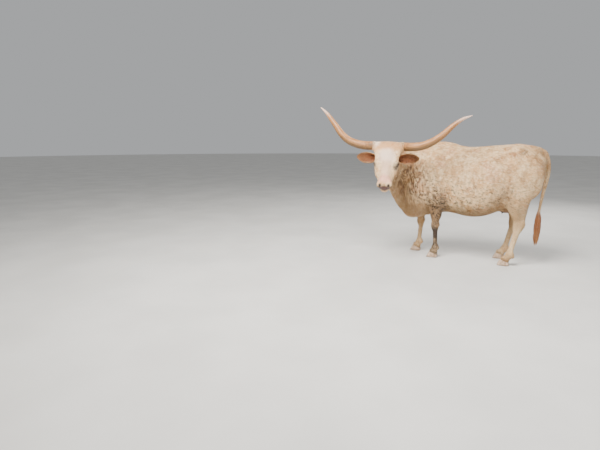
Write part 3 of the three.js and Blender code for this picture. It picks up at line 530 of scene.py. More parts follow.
# %% Remesh the flesh nodes
FLESH = ["torso", "neck", "head", "udder", "tail", "foreleg_left", "foreleg_right", "hindleg_left",
         "hindleg_right"]
VOXEL = 0.0112
joined = bmesh.new()
for name in FLESH:
    joined.from_mesh(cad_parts[name].data)
skin_mesh = bpy.data.meshes.new("skin")
joined.to_mesh(skin_mesh)
joined.free()
skin = in_scene("skin", skin_mesh)
remesh = skin.modifiers.new("even_faces", "REMESH")
remesh.mode, remesh.voxel_size = "VOXEL", VOXEL
bpy.context.view_layer.update()
skin.data = bpy.data.meshes.new_from_object(skin.evaluated_get(bpy.context.evaluated_depsgraph_get()))
skin.modifiers.clear()


def keep_largest(mesh):
    """Drops every loose shell but the largest."""
    bm = bmesh.new()
    bm.from_mesh(mesh)
    bm.verts.ensure_lookup_table()
    seen, shells = set(), []
    for start in bm.verts:
        if start.index in seen:
            continue
        shell, front = [], [start]
        seen.add(start.index)
        while front:
            v = front.pop()
            shell.append(v)
            for e in v.link_edges:
                w = e.other_vert(v)
                if w.index not in seen:
                    seen.add(w.index)
                    front.append(w)
        shells.append(shell)
    shells.sort(key=len)
    for shell in shells[:-1]:
        bmesh.ops.delete(bm, geom=shell, context="VERTS")
    bm.to_mesh(mesh)
    bm.free()
    return len(shells)


print("shells", keep_largest(skin.data), "faces", len(skin.data.polygons))

# %% Slide the skin under the coat
points, edges = drawn_points(skin.data), edges_of(skin.data)
points = settle(points, flesh, COAT_DEPTH, 4)
for _ in range(4):
    points = settle(evened(points, edges, 0.5), flesh, COAT_DEPTH, 2)
set_points(skin.data, points)
print("skin settled; worst", np.abs(flesh(points) + COAT_DEPTH).max().round(2), "mm")

# %% [markdown]
# ## The face close up
# The face is what people look at, so its faces are halved again and again round the eyes, nostrils and
# mouth, and the skin is settled on a finer field, which has brows, closed lids as a thin shell round
# each eyeball, flared nostrils and full lips. Then the almond between the lids, the nostrils and the
# line of the mouth are pressed into that even mesh, which keeps their edges clean.

# %% Lids
EYE_LOOKS = Vector((0.06, 0.88, 0.47)).normalized()
LID_LINE = Vector((0.88, 0, 0.47))
EYE_ALONG = (LID_LINE - LID_LINE.dot(EYE_LOOKS) * EYE_LOOKS).normalized()
EYE_UP = EYE_LOOKS.cross(EYE_ALONG)
LID_THICK = 4.2
EYE_CORNER, UPPER_OPEN, LOWER_OPEN = 0.98, 0.50, 0.36


def eye_angles(q):
    """How far round the eyeball each head point lies from where the eye looks: along and up."""
    v = np.column_stack([q[:, 0], np.abs(q[:, 1]), q[:, 2]]) - EYE_AT
    along, up, out = v @ np.array(EYE_ALONG), v @ np.array(EYE_UP), v @ np.array(EYE_LOOKS)
    r = np.linalg.norm(v, axis=1)
    return np.arctan2(along, out), np.arctan2(up, np.hypot(along, out)), r, out


def lid_edges(a):
    """Where the lids' edges lie, as angles above and below the eye's middle line."""
    arch = np.maximum(0, np.cos(np.clip(a / EYE_CORNER, -1, 1) * math.pi / 2)) ** 0.75
    return UPPER_OPEN * arch, -LOWER_OPEN * arch


def almond(a, b, r):
    """How far outside the opening between the lids a direction from the eye lies, in mm."""
    upper, lower = lid_edges(a)
    return np.minimum(r, 26) * np.maximum(np.maximum(b - upper, lower - b), np.abs(a) - EYE_CORNER)


lid_shell = paired(egg(EYE_AT, [EYE_RADIUS + LID_THICK] * 3))
brow = paired(fuse(14, limb([222, 106, -30], 15, [236, 116, -34], 12), limb([236, 116, -34], 12,
                                                                         [262, 112, -36], 7)))
tear_bone = paired(limb([278, 100, -62], 12, [320, 82, -82], 12))
print("the eyes look along", [round(v, 2) for v in EYE_LOOKS], "in the head's frame")

# %% Nostrils, lips and nose
MUZZLE_MIDDLE = np.array([468.0, 0, -92])
MOUTH_MIDDLE, MOUTH_LEVEL = np.array([445.0, 0, -136]), -136


def head_skin_point(start, way):
    """Where a line from inside the head comes out."""
    way = np.array(way, float) / np.linalg.norm(way)
    near, far = 0.0, 200.0
    for _ in range(30):
        mid = (near + far) / 2
        near, far = (mid, far) if head((start + mid * way)[None])[0] < 0 else (near, mid)
    return start + near * way


NOSTRIL_WAYS = [[0.74, 0.34, 0.60], [0.70, 0.46, 0.54], [0.68, 0.58, 0.42], [0.66, 0.68, 0.24],
                [0.62, 0.76, 0.06]]
nostril_line = [head_skin_point(MUZZLE_MIDDLE, way) for way in NOSTRIL_WAYS]
NOSTRIL_INWARD = np.array([452, 14, -96]) - nostril_line[2]
NOSTRIL_INWARD /= np.linalg.norm(NOSTRIL_INWARD)
nostril = paired(rod(nostril_line, [2.5, 6.5, 9, 7, 3]))
nostril_wing = paired(rod([q + [1, 2, 1] for q in nostril_line], [8, 13, 15, 12, 8]))


def mouth_line(q):
    """How far above the line between the lips a head point lies, and how far round it from the front."""
    v = q - MOUTH_MIDDLE
    turn = np.arctan2(np.abs(v[:, 1]), v[:, 0])
    return q[:, 2] - MOUTH_LEVEL - 12 * (turn / 2) ** 2, turn


upper_lip = paired(limb([502, 10, -126], 13, [486, 50, -122], 13))
face = fuse(9, fuse(14, head, brow, tear_bone, upper_lip), lid_shell)
face = fuse(10, face, nostril_wing)
in_face = within([-1160, -960, 700], [-600, -180, 1560], lambda p: face(to_head(p)))
fine_flesh = fuse(36, fuse(46, trunk, in_neck, *legs), udder, tail, in_face)
print("nostrils follow", len(nostril_line), "points")


# %% Halve the faces where detail lies
def halve(mesh, chosen):
    """Cuts in two every edge whose two ends are chosen."""
    bm = bmesh.new()
    bm.from_mesh(mesh)
    bm.verts.ensure_lookup_table()
    cut = [e for e in bm.edges if chosen[e.verts[0].index] and chosen[e.verts[1].index]]
    bmesh.ops.subdivide_edges(bm, edges=cut, cuts=1, use_grid_fill=True)
    bm.to_mesh(mesh)
    bm.free()


def near_head(points, centre, reach):
    """Which points lie within reach of a head point, or of its mirror image."""
    q = to_head(points)
    q[:, 1] = np.abs(q[:, 1])
    return np.linalg.norm((q - centre) / reach, axis=1) < 1


def head_points(points):
    """Which points belong to the head."""
    q = to_head(points)
    return (np.abs(q[:, 1]) < 182) & (q[:, 0] > -60) & (q[:, 0] < 560) & (q[:, 2] > -250) & (q[:, 2] < 40)


TEAT_LOW, TEAT_HIGH = np.array([270, -90, 500]), np.array([470, 90, 612])


def teat_points(points):
    """Which points belong to the teats."""
    return ((points > TEAT_LOW) & (points < TEAT_HIGH)).all(1)


halve(skin.data, head_points(points) | teat_points(points))
points = drawn_points(skin.data)
halve(skin.data, near_head(points, EYE_AT, 48) | near_head(points, [500, 0, -112], [64, 92, 84]))
points, edges = drawn_points(skin.data), edges_of(skin.data)
points = settle(points, fine_flesh, COAT_DEPTH, 2, 4.0, head_points(points) | teat_points(points))
set_points(skin.data, points)
near_mouth = (np.abs(mouth_line(to_head(points))[0]) < 13) & near_head(points, [500, 0, -136], [80, 90, 40])
halve(skin.data, near_head(points, EYE_AT, 38) | near_head(points, nostril_line[2], 30) | near_mouth)
points, edges = drawn_points(skin.data), edges_of(skin.data)
print("skin faces", len(skin.data.polygons))


# %% How deep the skin lies under the coat
def coat_depth(points):
    """Deep on the body, thin on the face and feet, and nothing on the bare nose, lids and teats."""
    q = to_head(points)
    on_head = np.clip((q[:, 0] + 40) / 120, 0, 1) * head_points(points)
    q[:, 1] = np.abs(q[:, 1])
    off_nose = np.clip(np.linalg.norm((q - [512, 0, -112]) / [70, 95, 70], axis=1) - 1, 0, 0.5) * 2
    off_lids = np.clip(np.linalg.norm(q - EYE_AT, axis=1) / 30 - 0.9, 0, 1)
    on_foot = np.clip((260 - points[:, 2]) / 120, 0, 1)
    depth = COAT_DEPTH - 2.2 * np.maximum(on_head, on_foot)
    return 0.4 + (depth - 0.4) * np.minimum(off_nose, off_lids)


depth = evened(coat_depth(points)[:, None].repeat(3, 1), edges, 0.5)[:, 0]
points = settle(points, fine_flesh, depth, 1)
detailed = head_points(points) | teat_points(points)
for share in (0.4, 0.3, 0.2, 0.1, 0.0):
    points[detailed] = evened(points, edges, share)[detailed]
    points = settle(points, fine_flesh, depth, 2, 2.5, detailed)
print("face settled; worst", np.abs(fine_flesh(points[detailed]) + depth[detailed]).max().round(2), "mm")


# %% Press in the openings
def rising(value):
    """A smooth step from 0 to 1."""
    t = np.clip(value, 0, 1)
    return t * t * (3 - 2 * t)


def pressed(points):
    """The points with the eyes' openings, the nostrils and the mouth pressed in."""
    q = to_head(points)
    side = np.where(q[:, 1] < 0, -1.0, 1.0)
    q[:, 1] *= side
    a, b, r, out = eye_angles(q)
    at_eye = (out > 0) & (r < EYE_RADIUS + 14)
    apart = almond(a, b, r)
    floor = EYE_RADIUS - 4.5
    share = rising((0.4 - apart) / 2.6) * at_eye
    margin = 0.8 * np.exp(-((apart - 1.6) / 1.5) ** 2) * at_eye
    new_r = r + (floor - r) * share + margin
    q = EYE_AT + (q - EYE_AT) * (new_r / np.maximum(r, 1e-6))[:, None]
    q += NOSTRIL_INWARD * (15 * rising((1.0 - nostril(q)) / 7))[:, None]
    rise, turn = mouth_line(q)
    groove = np.exp(-(rise / 2.4) ** 2) * rising((2.0 - turn) / 0.35) * near_head(points, [490, 0, -136], 92)
    inward = MOUTH_MIDDLE - q
    inward /= np.linalg.norm(inward, axis=1)[:, None]
    q += inward * (8.5 * groove)[:, None]
    q[:, 1] *= side
    return from_head(q)


points = pressed(points)
set_points(skin.data, points)
print("openings pressed in")

# %% [markdown]
# ## Folds
# Skin folds where the neck turns, at the elbow and the flank, over the nose and round the eyes. A
# sculptor would press them in by hand. Here they are moves along the skin's own normal, a few
# millimetres deep, worked out from where each point lies, so they come out the same each time.


# %% Folds and wrinkles
def bell(value, middle, width):
    """1 at the middle, falling smoothly to 0 a few widths away."""
    return np.exp(-((value - middle) / width) ** 2)


def folds(points):
    """How far each point moves out along its normal."""
    x, y, z = points.T
    q = to_head(points)
    move = np.zeros(len(points))
    off_head = np.clip(in_head(points) / 60, 0, 1)
    on_neck = bell(x, -670, 180) * bell(z, 980, 220) * (y < 60) * off_head
    turn = np.arctan2(y + 560, -(x + 420))
    sway = 0.35 * np.sin(z / 130) + 0.2 * np.sin(z / 57 + x / 80)
    move += on_neck * (4.2 * np.sin(turn * 58 + sway * 6) + 2.0 * np.sin(turn * 103 + 9 * sway))
    on_dewlap = bell(x, -880, 90) * bell(z, 780, 170) * off_head
    move += on_dewlap * 3.2 * np.sin(z / 34 + x / 26 + np.sin(z / 60))
    in_elbow = bell(x, -300, 70) * bell(z, 720, 80) * (np.abs(y) > 120)
    move += in_elbow * 2.6 * np.sin((x + 0.7 * z) / 17)
    in_flank = bell(x, 330, 90) * bell(z, 780, 90) * (np.abs(y) > 120)
    move += in_flank * 2.4 * np.sin((x - 0.5 * z) / 19)
    ribs = bell(x, 20, 200) * bell(z, 900, 150) * (np.abs(y) > 200)
    move += ribs * 1.3 * np.sin((x + 0.35 * z) / 13.5)
    over_nose = bell(q[:, 0], 425, 26) * bell(q[:, 1], 0, 46) * (q[:, 2] > -100) * head_points(points)
    move += over_nose * 2.0 * np.sin(q[:, 0] / 2.55 + 0.0012 * q[:, 1] ** 2)
    a, b, r, out = eye_angles(q)
    round_eye = bell(r, EYE_RADIUS + 5, 6) * (out > -8) * head_points(points) * bell(a, 0, 0.9)
    crease = bell(b, lid_edges(a)[0] + 0.36, 0.07) + 0.7 * bell(b, lid_edges(a)[1] - 0.34, 0.07)
    move -= 1.3 * round_eye * crease
    cheek = near_head(points, [320, 78, -120], [90, 50, 60])
    move += cheek * 0.7 * np.sin(q[:, 0] / 6 + q[:, 2] / 9)
    return move


def normals_of(mesh):
    """The mesh's point normals."""
    flat = np.empty(len(mesh.vertices) * 3, np.float32)
    mesh.vertices.foreach_get("normal", flat)
    return flat.reshape(-1, 3).astype(float)


points += folds(points)[:, None] * normals_of(skin.data)
set_points(skin.data, points)
for polygon in skin.data.polygons:
    polygon.use_smooth = True
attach(skin, "root")
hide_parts(*FLESH)
print("folds up to", np.abs(folds(points)).max().round(1), "mm")

# %% [markdown]
# ## Swept forms
# Horns, hooves, eyes and the locks of the tail are all rings of points joined up and closed at both
# ends, so one helper makes them. For a horn, a smooth line through a few stations places each ring.


# %% Rings into closed meshes
def frames_along(line, t, top):
    """Points, and the sideways and upward unit vectors, along a line."""
    at = line(t)
    way = line(np.clip(t + 1e-3, 0, 1)) - line(np.clip(t - 1e-3, 0, 1))
    way /= np.linalg.norm(way, axis=1)[:, None]
    side = np.cross(way, top)
    side /= np.linalg.norm(side, axis=1)[:, None]
    return at, side, np.cross(side, way)


def ringed(rings, first, last):
    """Points and faces of one closed body through a stack of rings, rings being (n, sides, 3)."""
    n, sides, _ = rings.shape
    points = np.concatenate([[first], rings.reshape(-1, 3), [last]])
    faces, end = [], 1 + (n - 1) * sides
    for j in range(sides):
        k = (j + 1) % sides
        faces.append((0, 1 + j, 1 + k))
        for i in range(n - 1):
            a, b = 1 + i * sides, 1 + (i + 1) * sides
            faces.append((a + j, b + j, b + k, a + k))
        faces.append((end + j, len(points) - 1, end + k))
    return points, faces


def piece(name, points, faces, slot, *replaced):
    """A new smooth piece from drawing points, which rides on the animal's one body."""
    mesh = bpy.data.meshes.new(name)
    mesh.from_pydata([tuple(q) for q in np.asarray(points) / 1000 + ORIGIN], [], faces)
    bm = bmesh.new()
    bm.from_mesh(mesh)
    bmesh.ops.recalc_face_normals(bm, faces=bm.faces)
    bm.to_mesh(mesh)
    bm.free()
    for face in mesh.polygons:
        face.use_smooth = True
    thing = in_scene(name, mesh)
    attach(thing, "root")
    if replaced:
        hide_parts(*replaced)
    return thing


def mark(thing, name, values):
    """Keeps a number or a vector for each point of a piece, for its material to read."""
    values = np.asarray(values, np.float32)
    kind, key = ("FLOAT_VECTOR", "vector") if values.ndim == 2 else ("FLOAT", "value")
    thing.data.attributes.new(name, kind, "POINT").data.foreach_set(key, values.ravel())


# %% [markdown]
# ## Horns
# A longhorn's horns leave the skull sideways, sweep forward and up and turn back at their tips. The
# sheath grows in fine rings near the skull and is polished smooth further out.

# %% Horns
HORN_BASE = 49
HORN_SEAT = np.array([12, 178, -46], float)
HORN_LEFT = [[-633, -487, 1312], [-517, -506, 1323], [-408, -516, 1366], [-305, -515, 1436],
             [-207, -501, 1532], [-112, -477, 1604], [-18, -445, 1643]]
HORN_RIGHT = [[-1160, -500, 1325], [-1243, -522, 1338], [-1346, -554, 1379], [-1431, -571, 1449],
              [-1523, -572, 1567], [-1636, -557, 1698], [-1730, -530, 1773]]


def horn_way(side):
    """The way a horn leaves the skull."""
    return np.array([-0.03, side, 0.02]) @ HEAD_AXES


def horn(name, stations, side, seed):
    """One horn from inside the skull to its tip."""
    seat = from_head([[HORN_SEAT[0], side * HORN_SEAT[1], HORN_SEAT[2]]])[0]
    way = horn_way(side)
    way /= np.linalg.norm(way)
    line = smooth_line([seat - 40 * way, seat + 12 * way, *stations])
    rings_along, sides = 150, 40
    t = np.linspace(0, 1, rings_along)
    at, across, up = frames_along(line, t, [0, 0, 1])
    angle = np.linspace(0, 2 * math.pi, sides, endpoint=False)
    radius = HORN_BASE * (1 - t**2.1) ** 0.72 * (1 - 0.12 * t) + 1.6
    radius *= 0.7 + 0.3 * rising(t / 0.036)
    draw = np.random.default_rng(seed)
    growth = np.interp(t, np.linspace(0, 1, 60), draw.uniform(-1, 1, 60)) * np.maximum(0, 1 - 2.2 * t)
    flute = sum(np.sin(k * angle + draw.uniform(0, 6)) * w for k, w in ((3, 0.006), (5, 0.004), (9, 0.002)))
    round_ = radius[:, None] * (1 - 0.006 + flute[None] * (1 - t)[:, None]) + 0.8 * growth[:, None] - 0.6
    rings = (at[:, None] + round_[..., None] * (np.cos(angle)[None, :, None] * across[:, None]
                                                + np.sin(angle)[None, :, None] * up[:, None]))
    points, faces = ringed(rings, at[0], at[-1])
    made = piece(name + "_fine", points, faces, "horn", name)
    t = t[:, None]
    grain = np.stack([t + 0 * angle, np.cos(angle) + 0 * t, np.sin(angle) + 0 * t], -1)
    mark(made, "grain", np.concatenate([[[0, 0, 0]], grain.reshape(-1, 3), [[1, 0, 0]]]))
    return made


horns = [horn("horn_left", HORN_LEFT, 1, 3), horn("horn_right", HORN_RIGHT, -1, 4)]
print("horns", [len(h.data.polygons) for h in horns])

# %% [markdown]
# ## Ears
# An ear is a cupped leaf: a rolled stalk that opens toward its middle and closes to a blunt tip. It is
# a thick sheet between an outer and an inner grid of points.

# %% Ears
EAR_LENGTH, EAR_WIDTH, EAR_THICK, EAR_BACK = 238, 142, 7, 20
EAR_ROOT, EAR_DROOP = [112, 118, -132], 0.03


def ear_grid(rows, cols, face):
    """The ear's outer (face 0) or inner (face 1) grid, in its own frame: x across, y along, z open."""
    t = np.sin(np.linspace(0, 1, rows) * math.pi / 2)[:, None]
    u = np.linspace(-1, 1, cols)[None]
    swell = 0.34 + 0.66 * np.sin(math.pi * np.minimum(1, 0.06 + t * 0.72)) ** 0.9
    half = np.maximum(EAR_WIDTH * swell * np.maximum(0, 1 - t**3.4) ** 0.6 / 2, 5) - 1
    curl = (2.25 + (0.8 - 2.25) * np.minimum(1, t * 1.7)) * (1 - 0.2 * t)
    r = half / np.sin(np.minimum(curl, math.pi / 2))
    thick = np.minimum(EAR_THICK * (1.3 - 0.7 * t), r * 0.5)
    rim = 1 - 0.6 * np.abs(u) ** 6
    a, q = curl * u, r - face * thick * rim
    sag = 4 * (1 - t) - 14 * t * t
    return np.stack([q * np.sin(a) + sag, EAR_LENGTH * t + 0 * u, r - q * np.cos(a) - EAR_BACK], -1)


def ear_frame(side):
    """The ear's axes in the drawing frame, as rows, and its root."""
    way = Vector((EAR_DROOP, side, -0.05)).normalized()
    wide = Vector((math.cos(FACE_TIP), 0, -math.sin(FACE_TIP)))
    wide = (wide - wide.dot(way) * way).normalized()
    opening = wide.cross(way) * side
    axes = np.array([wide, way, opening]) @ HEAD_AXES
    return axes, from_head([[EAR_ROOT[0], EAR_ROOT[1] * side, EAR_ROOT[2]]])[0]


def ear(name, side):
    """One ear, cupped forward."""
    rows, cols = 44, 40
    axes, root = ear_frame(side)
    outer, inner = ear_grid(rows, cols, 0), ear_grid(rows, cols, 1)
    points = np.concatenate([outer.reshape(-1, 3), inner.reshape(-1, 3)])
    half = rows * cols
    faces = []
    for i in range(rows - 1):
        for j in range(cols - 1):
            a = i * cols + j
            faces.append((a, a + 1, a + cols + 1, a + cols))
            faces.append((half + a, half + a + cols, half + a + cols + 1, half + a + 1))
    border = [*range(cols), *[i * cols + cols - 1 for i in range(1, rows)],
              *[(rows - 1) * cols + j for j in range(cols - 2, -1, -1)],
              *[i * cols for i in range(rows - 2, 0, -1)]]
    for a, b in zip(border, border[1:] + border[:1]):
        faces.append((a, half + a, half + b, b))
    made = piece(name + "_fine", points @ axes + root, faces, "coat", name)
    t = np.linspace(0, 1, rows).repeat(cols)
    u = np.tile(np.linspace(-1, 1, cols), rows)
    deep = np.clip(1.25 - 1.15 * np.abs(u) ** 3 - 0.9 * np.maximum(0, t - 0.82) / 0.18, 0, 1)
    mark(made, "inside", np.concatenate([0 * deep, deep]))
    return made


ears = [ear("ear_left", 1), ear("ear_right", -1)]
print("ears", [len(e.data.polygons) for e in ears])

# %% [markdown]
# ## Hooves
# A cow stands on two claws to a foot. Each is longest at the toe, hollow behind, flat underneath, and
# ringed where it has grown.

# %% Hooves
HOOF_LENGTH, HOOF_WIDTH, CLEFT = 128, 47, 7


def claw(name, foot, side, seed):
    """One claw, from its flat sole to the slanting top that the skin sits in."""
    sides, rows = 40, 26
    a = np.linspace(0, 2 * math.pi, sides, endpoint=False)[None]
    s = np.concatenate([[0, 0.02, 0.06], np.linspace(0.1, 1, rows - 3)])[:, None]
    tuck = 3.0 * np.maximum(0, 1 - s / 0.05)
    fore = (1 - np.cos(a)) / 2
    slim = 1 - 0.42 * (1 - fore) ** 2.2
    ripple = 0.5 * np.sin(34 * s + 0.6 * np.sin(a + seed)) * (s > 0.1) - 0.4
    long = HOOF_LENGTH * (1 - 0.3 * s)
    x = -np.cos(a) * (long / 2 - tuck + ripple) + HOOF_LENGTH * 0.13 * s
    y = np.sin(a) * (HOOF_WIDTH / 2 - tuck + ripple) * slim * (1 - 0.06 * s)
    top = (CORONET + 8) * (1 - fore) + (CORONET - 26) * fore
    z = s * top
    rings = np.stack([x + foot[0] - 14, y + foot[1] + side * (HOOF_WIDTH + CLEFT) / 2, z], -1)
    points, faces = ringed(rings, [foot[0] - 14, foot[1] + side * 27, 0], rings[-1].mean(0))
    return piece(name + "_fine", points, faces, "hoof", name)


for leg, (*_, foot) in LEGS.items():
    for side, word in ((1, "right"), (-1, "left")):
        claw(leg.replace("leg", "claw") + "_" + word, foot, side, len(leg) + side)
print("claws", 2 * len(LEGS))

# %% [markdown]
# ## Eyes
# The eye is a dark ball that sits deep in its socket, with a clear bulge in front and a wide pupil
# that lies level.

# %% Eyes
def eye(name, side):
    """An eyeball with a slight bulge where it looks out."""
    rows, sides = 40, 64
    look = np.array([EYE_LOOKS.x, EYE_LOOKS.y * side, EYE_LOOKS.z])
    along = np.array([1.0, 0, 0]) - look[0] * look
    along /= np.linalg.norm(along)
    up = np.cross(look, along)
    down = np.linspace(0, math.pi, rows + 2)[1:-1, None]
    a = np.linspace(0, 2 * math.pi, sides, endpoint=False)[None]
    r = EYE_RADIUS - 1.6 + 1.3 * np.exp(-(down / 0.55) ** 2)
    ball = r[..., None] * (np.cos(down)[..., None] * look + np.sin(down)[..., None]
                           * (np.cos(a)[..., None] * along + np.sin(a)[..., None] * up))
    middle = np.array([EYE_AT[0], EYE_AT[1] * side, EYE_AT[2]])
    points, faces = ringed(ball + middle, middle + r[0, 0] * look, middle - r[-1, 0] * look)
    return piece(name + "_fine", from_head(points), faces, "eye", name)


eyes = [eye("eye_left", 1), eye("eye_right", -1)]
print("eyes", [len(e.data.polygons) for e in eyes])

# %% [markdown]
# ## The switch
# The end of the tail carries long hair in tapering locks that leave the tail along its last hand's
# breadth, spread a little and hang to their own points.

# %% Tail switch
SWITCH_TOP, SWITCH_LOW, SWITCH_TIP = 640, 400, 224


def switch_locks(count, seed):
    """Points and faces of many fine locks."""
    draw = np.random.default_rng(seed)
    rows, sides = 11, 5
    points, faces = [], []
    for i in range(count):
        low = i / count
        turn = i * 2.39996
        start = np.array([692 - 4 * low, 0, SWITCH_TOP + (SWITCH_LOW - SWITCH_TOP) * low])
        end = max(400 + (SWITCH_TIP - 400) * low**0.55 + draw.uniform(-14, 26), SWITCH_TIP)
        out = 46 * draw.uniform(0.25, 1.0) * (1 - 0.4 * low)
        side = np.array([math.cos(turn), math.sin(turn), 0])
        flat = np.array([-side[1], side[0], 0])
        bend, wide, wave = draw.uniform(-15, 15), draw.uniform(2.2, 4.8), draw.uniform(0, 6)
        t = np.linspace(0, 1, rows)
        away = out * np.sin(math.pi * np.minimum(1, 0.08 + t * 0.62)) * (1 - 0.2 * t)
        wander = bend * np.sin(3 * t) + 6 * np.sin(9 * t + wave) * t
        at = start + away[:, None] * side + wander[:, None] * flat
        at[:, 2] -= (start[2] - end) * t
        w = wide * np.where(t < 0.3, 0.7 + t, 1) * (1 - t**2.4) + 0.35
        a = np.linspace(0, 2 * math.pi, sides, endpoint=False)
        rings = at[:, None] + w[:, None, None] * (np.cos(a)[None, :, None] * flat
                                                  + 0.55 * np.sin(a)[None, :, None] * side)
        new_points, new_faces = ringed(rings, at[0], at[-1])
        base = sum(len(q) for q in points)
        points.append(new_points)
        faces += [tuple(base + k for k in face) for face in new_faces]
    return np.concatenate(points), faces, rows * sides + 2


SWITCH_LOCKS = 420
lock_points, lock_faces, lock_size = switch_locks(SWITCH_LOCKS, 11)
switch = piece("switch_locks", lock_points, lock_faces, "switch", "tail_switch")
mark(switch, "along_hair", np.tile(np.linspace(0, 1, lock_size), SWITCH_LOCKS))
mark(switch, "root", (lock_points.reshape(-1, lock_size, 3)[:, 0] / 1000).repeat(lock_size, 0))
print("switch faces", len(switch.data.polygons))

# %% [markdown]
# ## The lie of the coat
# A cow's coat starts at the face and runs back along the neck and trunk, down the legs and down the
# tail. Each tuft needs that direction at its root, and a length that is short on the face and feet
# and long at the poll and along the underside. Both are worked out from where the root lies.


# %% Direction and length of the hair
def unit(vectors):
    """Vectors of length 1."""
    return vectors / np.maximum(np.linalg.norm(vectors, axis=-1, keepdims=True), 1e-9)


def way_of_hair(points):
    """The way the coat lies at each drawing point, before it is laid along the skin."""
    x, y, z = points.T
    q = to_head(points)
    one = np.ones(len(points))
    on_leg = rising((640 - z) / 160)
    on_neck = rising((-480 - x) / 160)
    on_tail = (x > 660) & (np.abs(y) < 60)
    way = np.column_stack([one, 0.12 * np.sin(z / 90 + x / 140), -0.34 - 0.1 * np.sin(x / 75 + z / 120)])
    way += on_neck[:, None] * np.column_stack([-0.35 * one, 0.45 * one, -0.5 * one])
    way += on_leg[:, None] * np.column_stack([-0.8 * one, 0 * one, -1.1 * one])
    way[on_tail] = [0.1, 0, -1]
    head_share = (rising(1 - in_head(points) / 30) * head_points(points))[:, None]
    up_or_down = np.clip((q[:, 0] - 190) / 70, -1, 1)
    face = np.column_stack([up_or_down, 0.5 * np.sign(q[:, 1]) * rising(np.abs(q[:, 1]) / 60),
                            -0.75 * rising((-60 - q[:, 2]) / 60)])
    at_horn = rising((np.abs(q[:, 1]) - 105) / 40) * rising((90 - q[:, 0]) / 30)
    outward = np.column_stack([0 * x, np.sign(q[:, 1]), 0 * x])
    face = face * (1 - at_horn)[:, None] + outward * at_horn[:, None]
    return unit(way * (1 - head_share) + 1.4 * (face @ HEAD_AXES) * head_share)


def hair_length(points):
    """How long the coat is at each drawing point, in millimetres."""
    x, y, z = points.T
    q = to_head(points)
    on_head = head_points(points) & (in_head(points) < 14)
    low = rising((560 - z) / 160)
    long = (19 + 3 * rising((700 - z) / 120) + 3 * rising((-600 - x) / 120)) * (1 - low)
    long += (12 - 3 * rising((300 - z) / 200)) * low
    from_poll = np.linalg.norm((q - [0, 0, -30]) / [62, 150, 60], axis=1)
    face = 7 + 14 * rising(1.5 - from_poll) + 4 * rising((-150 - q[:, 2]) / 60)
    face -= 2.5 * rising((q[:, 0] - 400) / 60)
    return np.where(on_head, face, long)


def bare(points):
    """Where no hair grows: the nose and lips, the openings of the eyes and nostrils, and the teats."""
    q = to_head(points)
    q[:, 1] = np.abs(q[:, 1])
    on_nose = np.linalg.norm((q - [514, 0, -112]) / [44, 80, 62], axis=1) < 1
    a, b, r, out = eye_angles(q)
    on_eye = (out > 0) & (r < EYE_RADIUS + 12) & (almond(a, b, r) < 3.5)
    in_horn = (q[:, 1] > 168) & (np.linalg.norm(q - HORN_SEAT, axis=1) < 90)
    return on_nose | on_eye | in_horn | teat_points(points) & (points[:, 2] < 600)


print("the coat is", hair_length(np.array([[0.0, -300, 900]]))[0].round(1), "mm long on the ribs")

# %% [markdown]
# ## Tufts
# A tuft is a closed sliver of five points: a root sunk in the skin, a triangle halfway that arches it,
# and a tip that lies back down. With only six faces each, there can be hundreds of thousands, made at
# once as arrays. Each keeps its root's place in the attribute `root`, from which its markings come, and
# has a small patch of the UV map OFBake, at its root's place on the skin rolled out flat.

# %% Rolled-out skin
ROLLS = {
    "trunk": [0.01, 0.01, 0.55, 0.6],
    "neck": [0.57, 0.01, 0.99, 0.42],
    "head": [0.57, 0.44, 0.99, 0.99],
    "foreleg_left": [0.01, 0.62, 0.13, 0.99],
    "foreleg_right": [0.145, 0.62, 0.265, 0.99],
    "hindleg_left": [0.28, 0.62, 0.4, 0.99],
    "hindleg_right": [0.415, 0.62, 0.535, 0.99],
}


def rolled_out(points):
    """Where each drawing point lies on the flat map: round a region one way, and along it the other."""
    x, y, z = points.T
    q = to_head(points)
    uv = np.zeros((len(points), 2))

    def put(chosen, name, round_, along):
        u0, v0, u1, v1 = ROLLS[name]
        spin = (round_ / (2 * math.pi)) % 1
        uv[chosen, 0] = u0 + (u1 - u0) * (0.01 + 0.98 * spin[chosen])
        uv[chosen, 1] = v0 + (v1 - v0) * (0.01 + 0.98 * np.clip(along, 0, 1)[chosen])
    put(np.ones(len(x), bool), "trunk", np.arctan2(y, 900 - z), (x + 640) / 1420)
    put(x < -640, "neck", np.arctan2(y + 150, 1000 - z), (x + 1000) / 360)
    on_head = head_points(points) & (in_head(points) < 14)
    put(on_head, "head", np.arctan2(q[:, 1], q[:, 2] + 100), (q[:, 0] + 90) / 670)
    for name, (_, top, joint, fetlock, foot) in LEGS.items():
        heights, rows = [0, FETLOCK, KNEE, 700], np.array([foot, fetlock, joint, top[:2]], float)
        mid_x, mid_y = (np.interp(z, heights, rows[:, i]) for i in (0, 1))
        on_leg = (z < 560) & (np.hypot(x - mid_x, y - mid_y) < 130)
        put(on_leg, name, np.arctan2(y - mid_y, mid_x - x), z / 560)
    return uv


print("rolled-out regions", len(ROLLS))


# %% Roots spread over a mesh
def triangles_of(mesh):
    """The corners of a mesh's triangles as drawing points, and their smooth normals."""
    mesh.calc_loop_triangles()
    corners = np.empty(len(mesh.loop_triangles) * 3, np.int32)
    mesh.loop_triangles.foreach_get("vertices", corners)
    corners = corners.reshape(-1, 3)
    return drawn_points(mesh)[corners], normals_of(mesh)[corners]


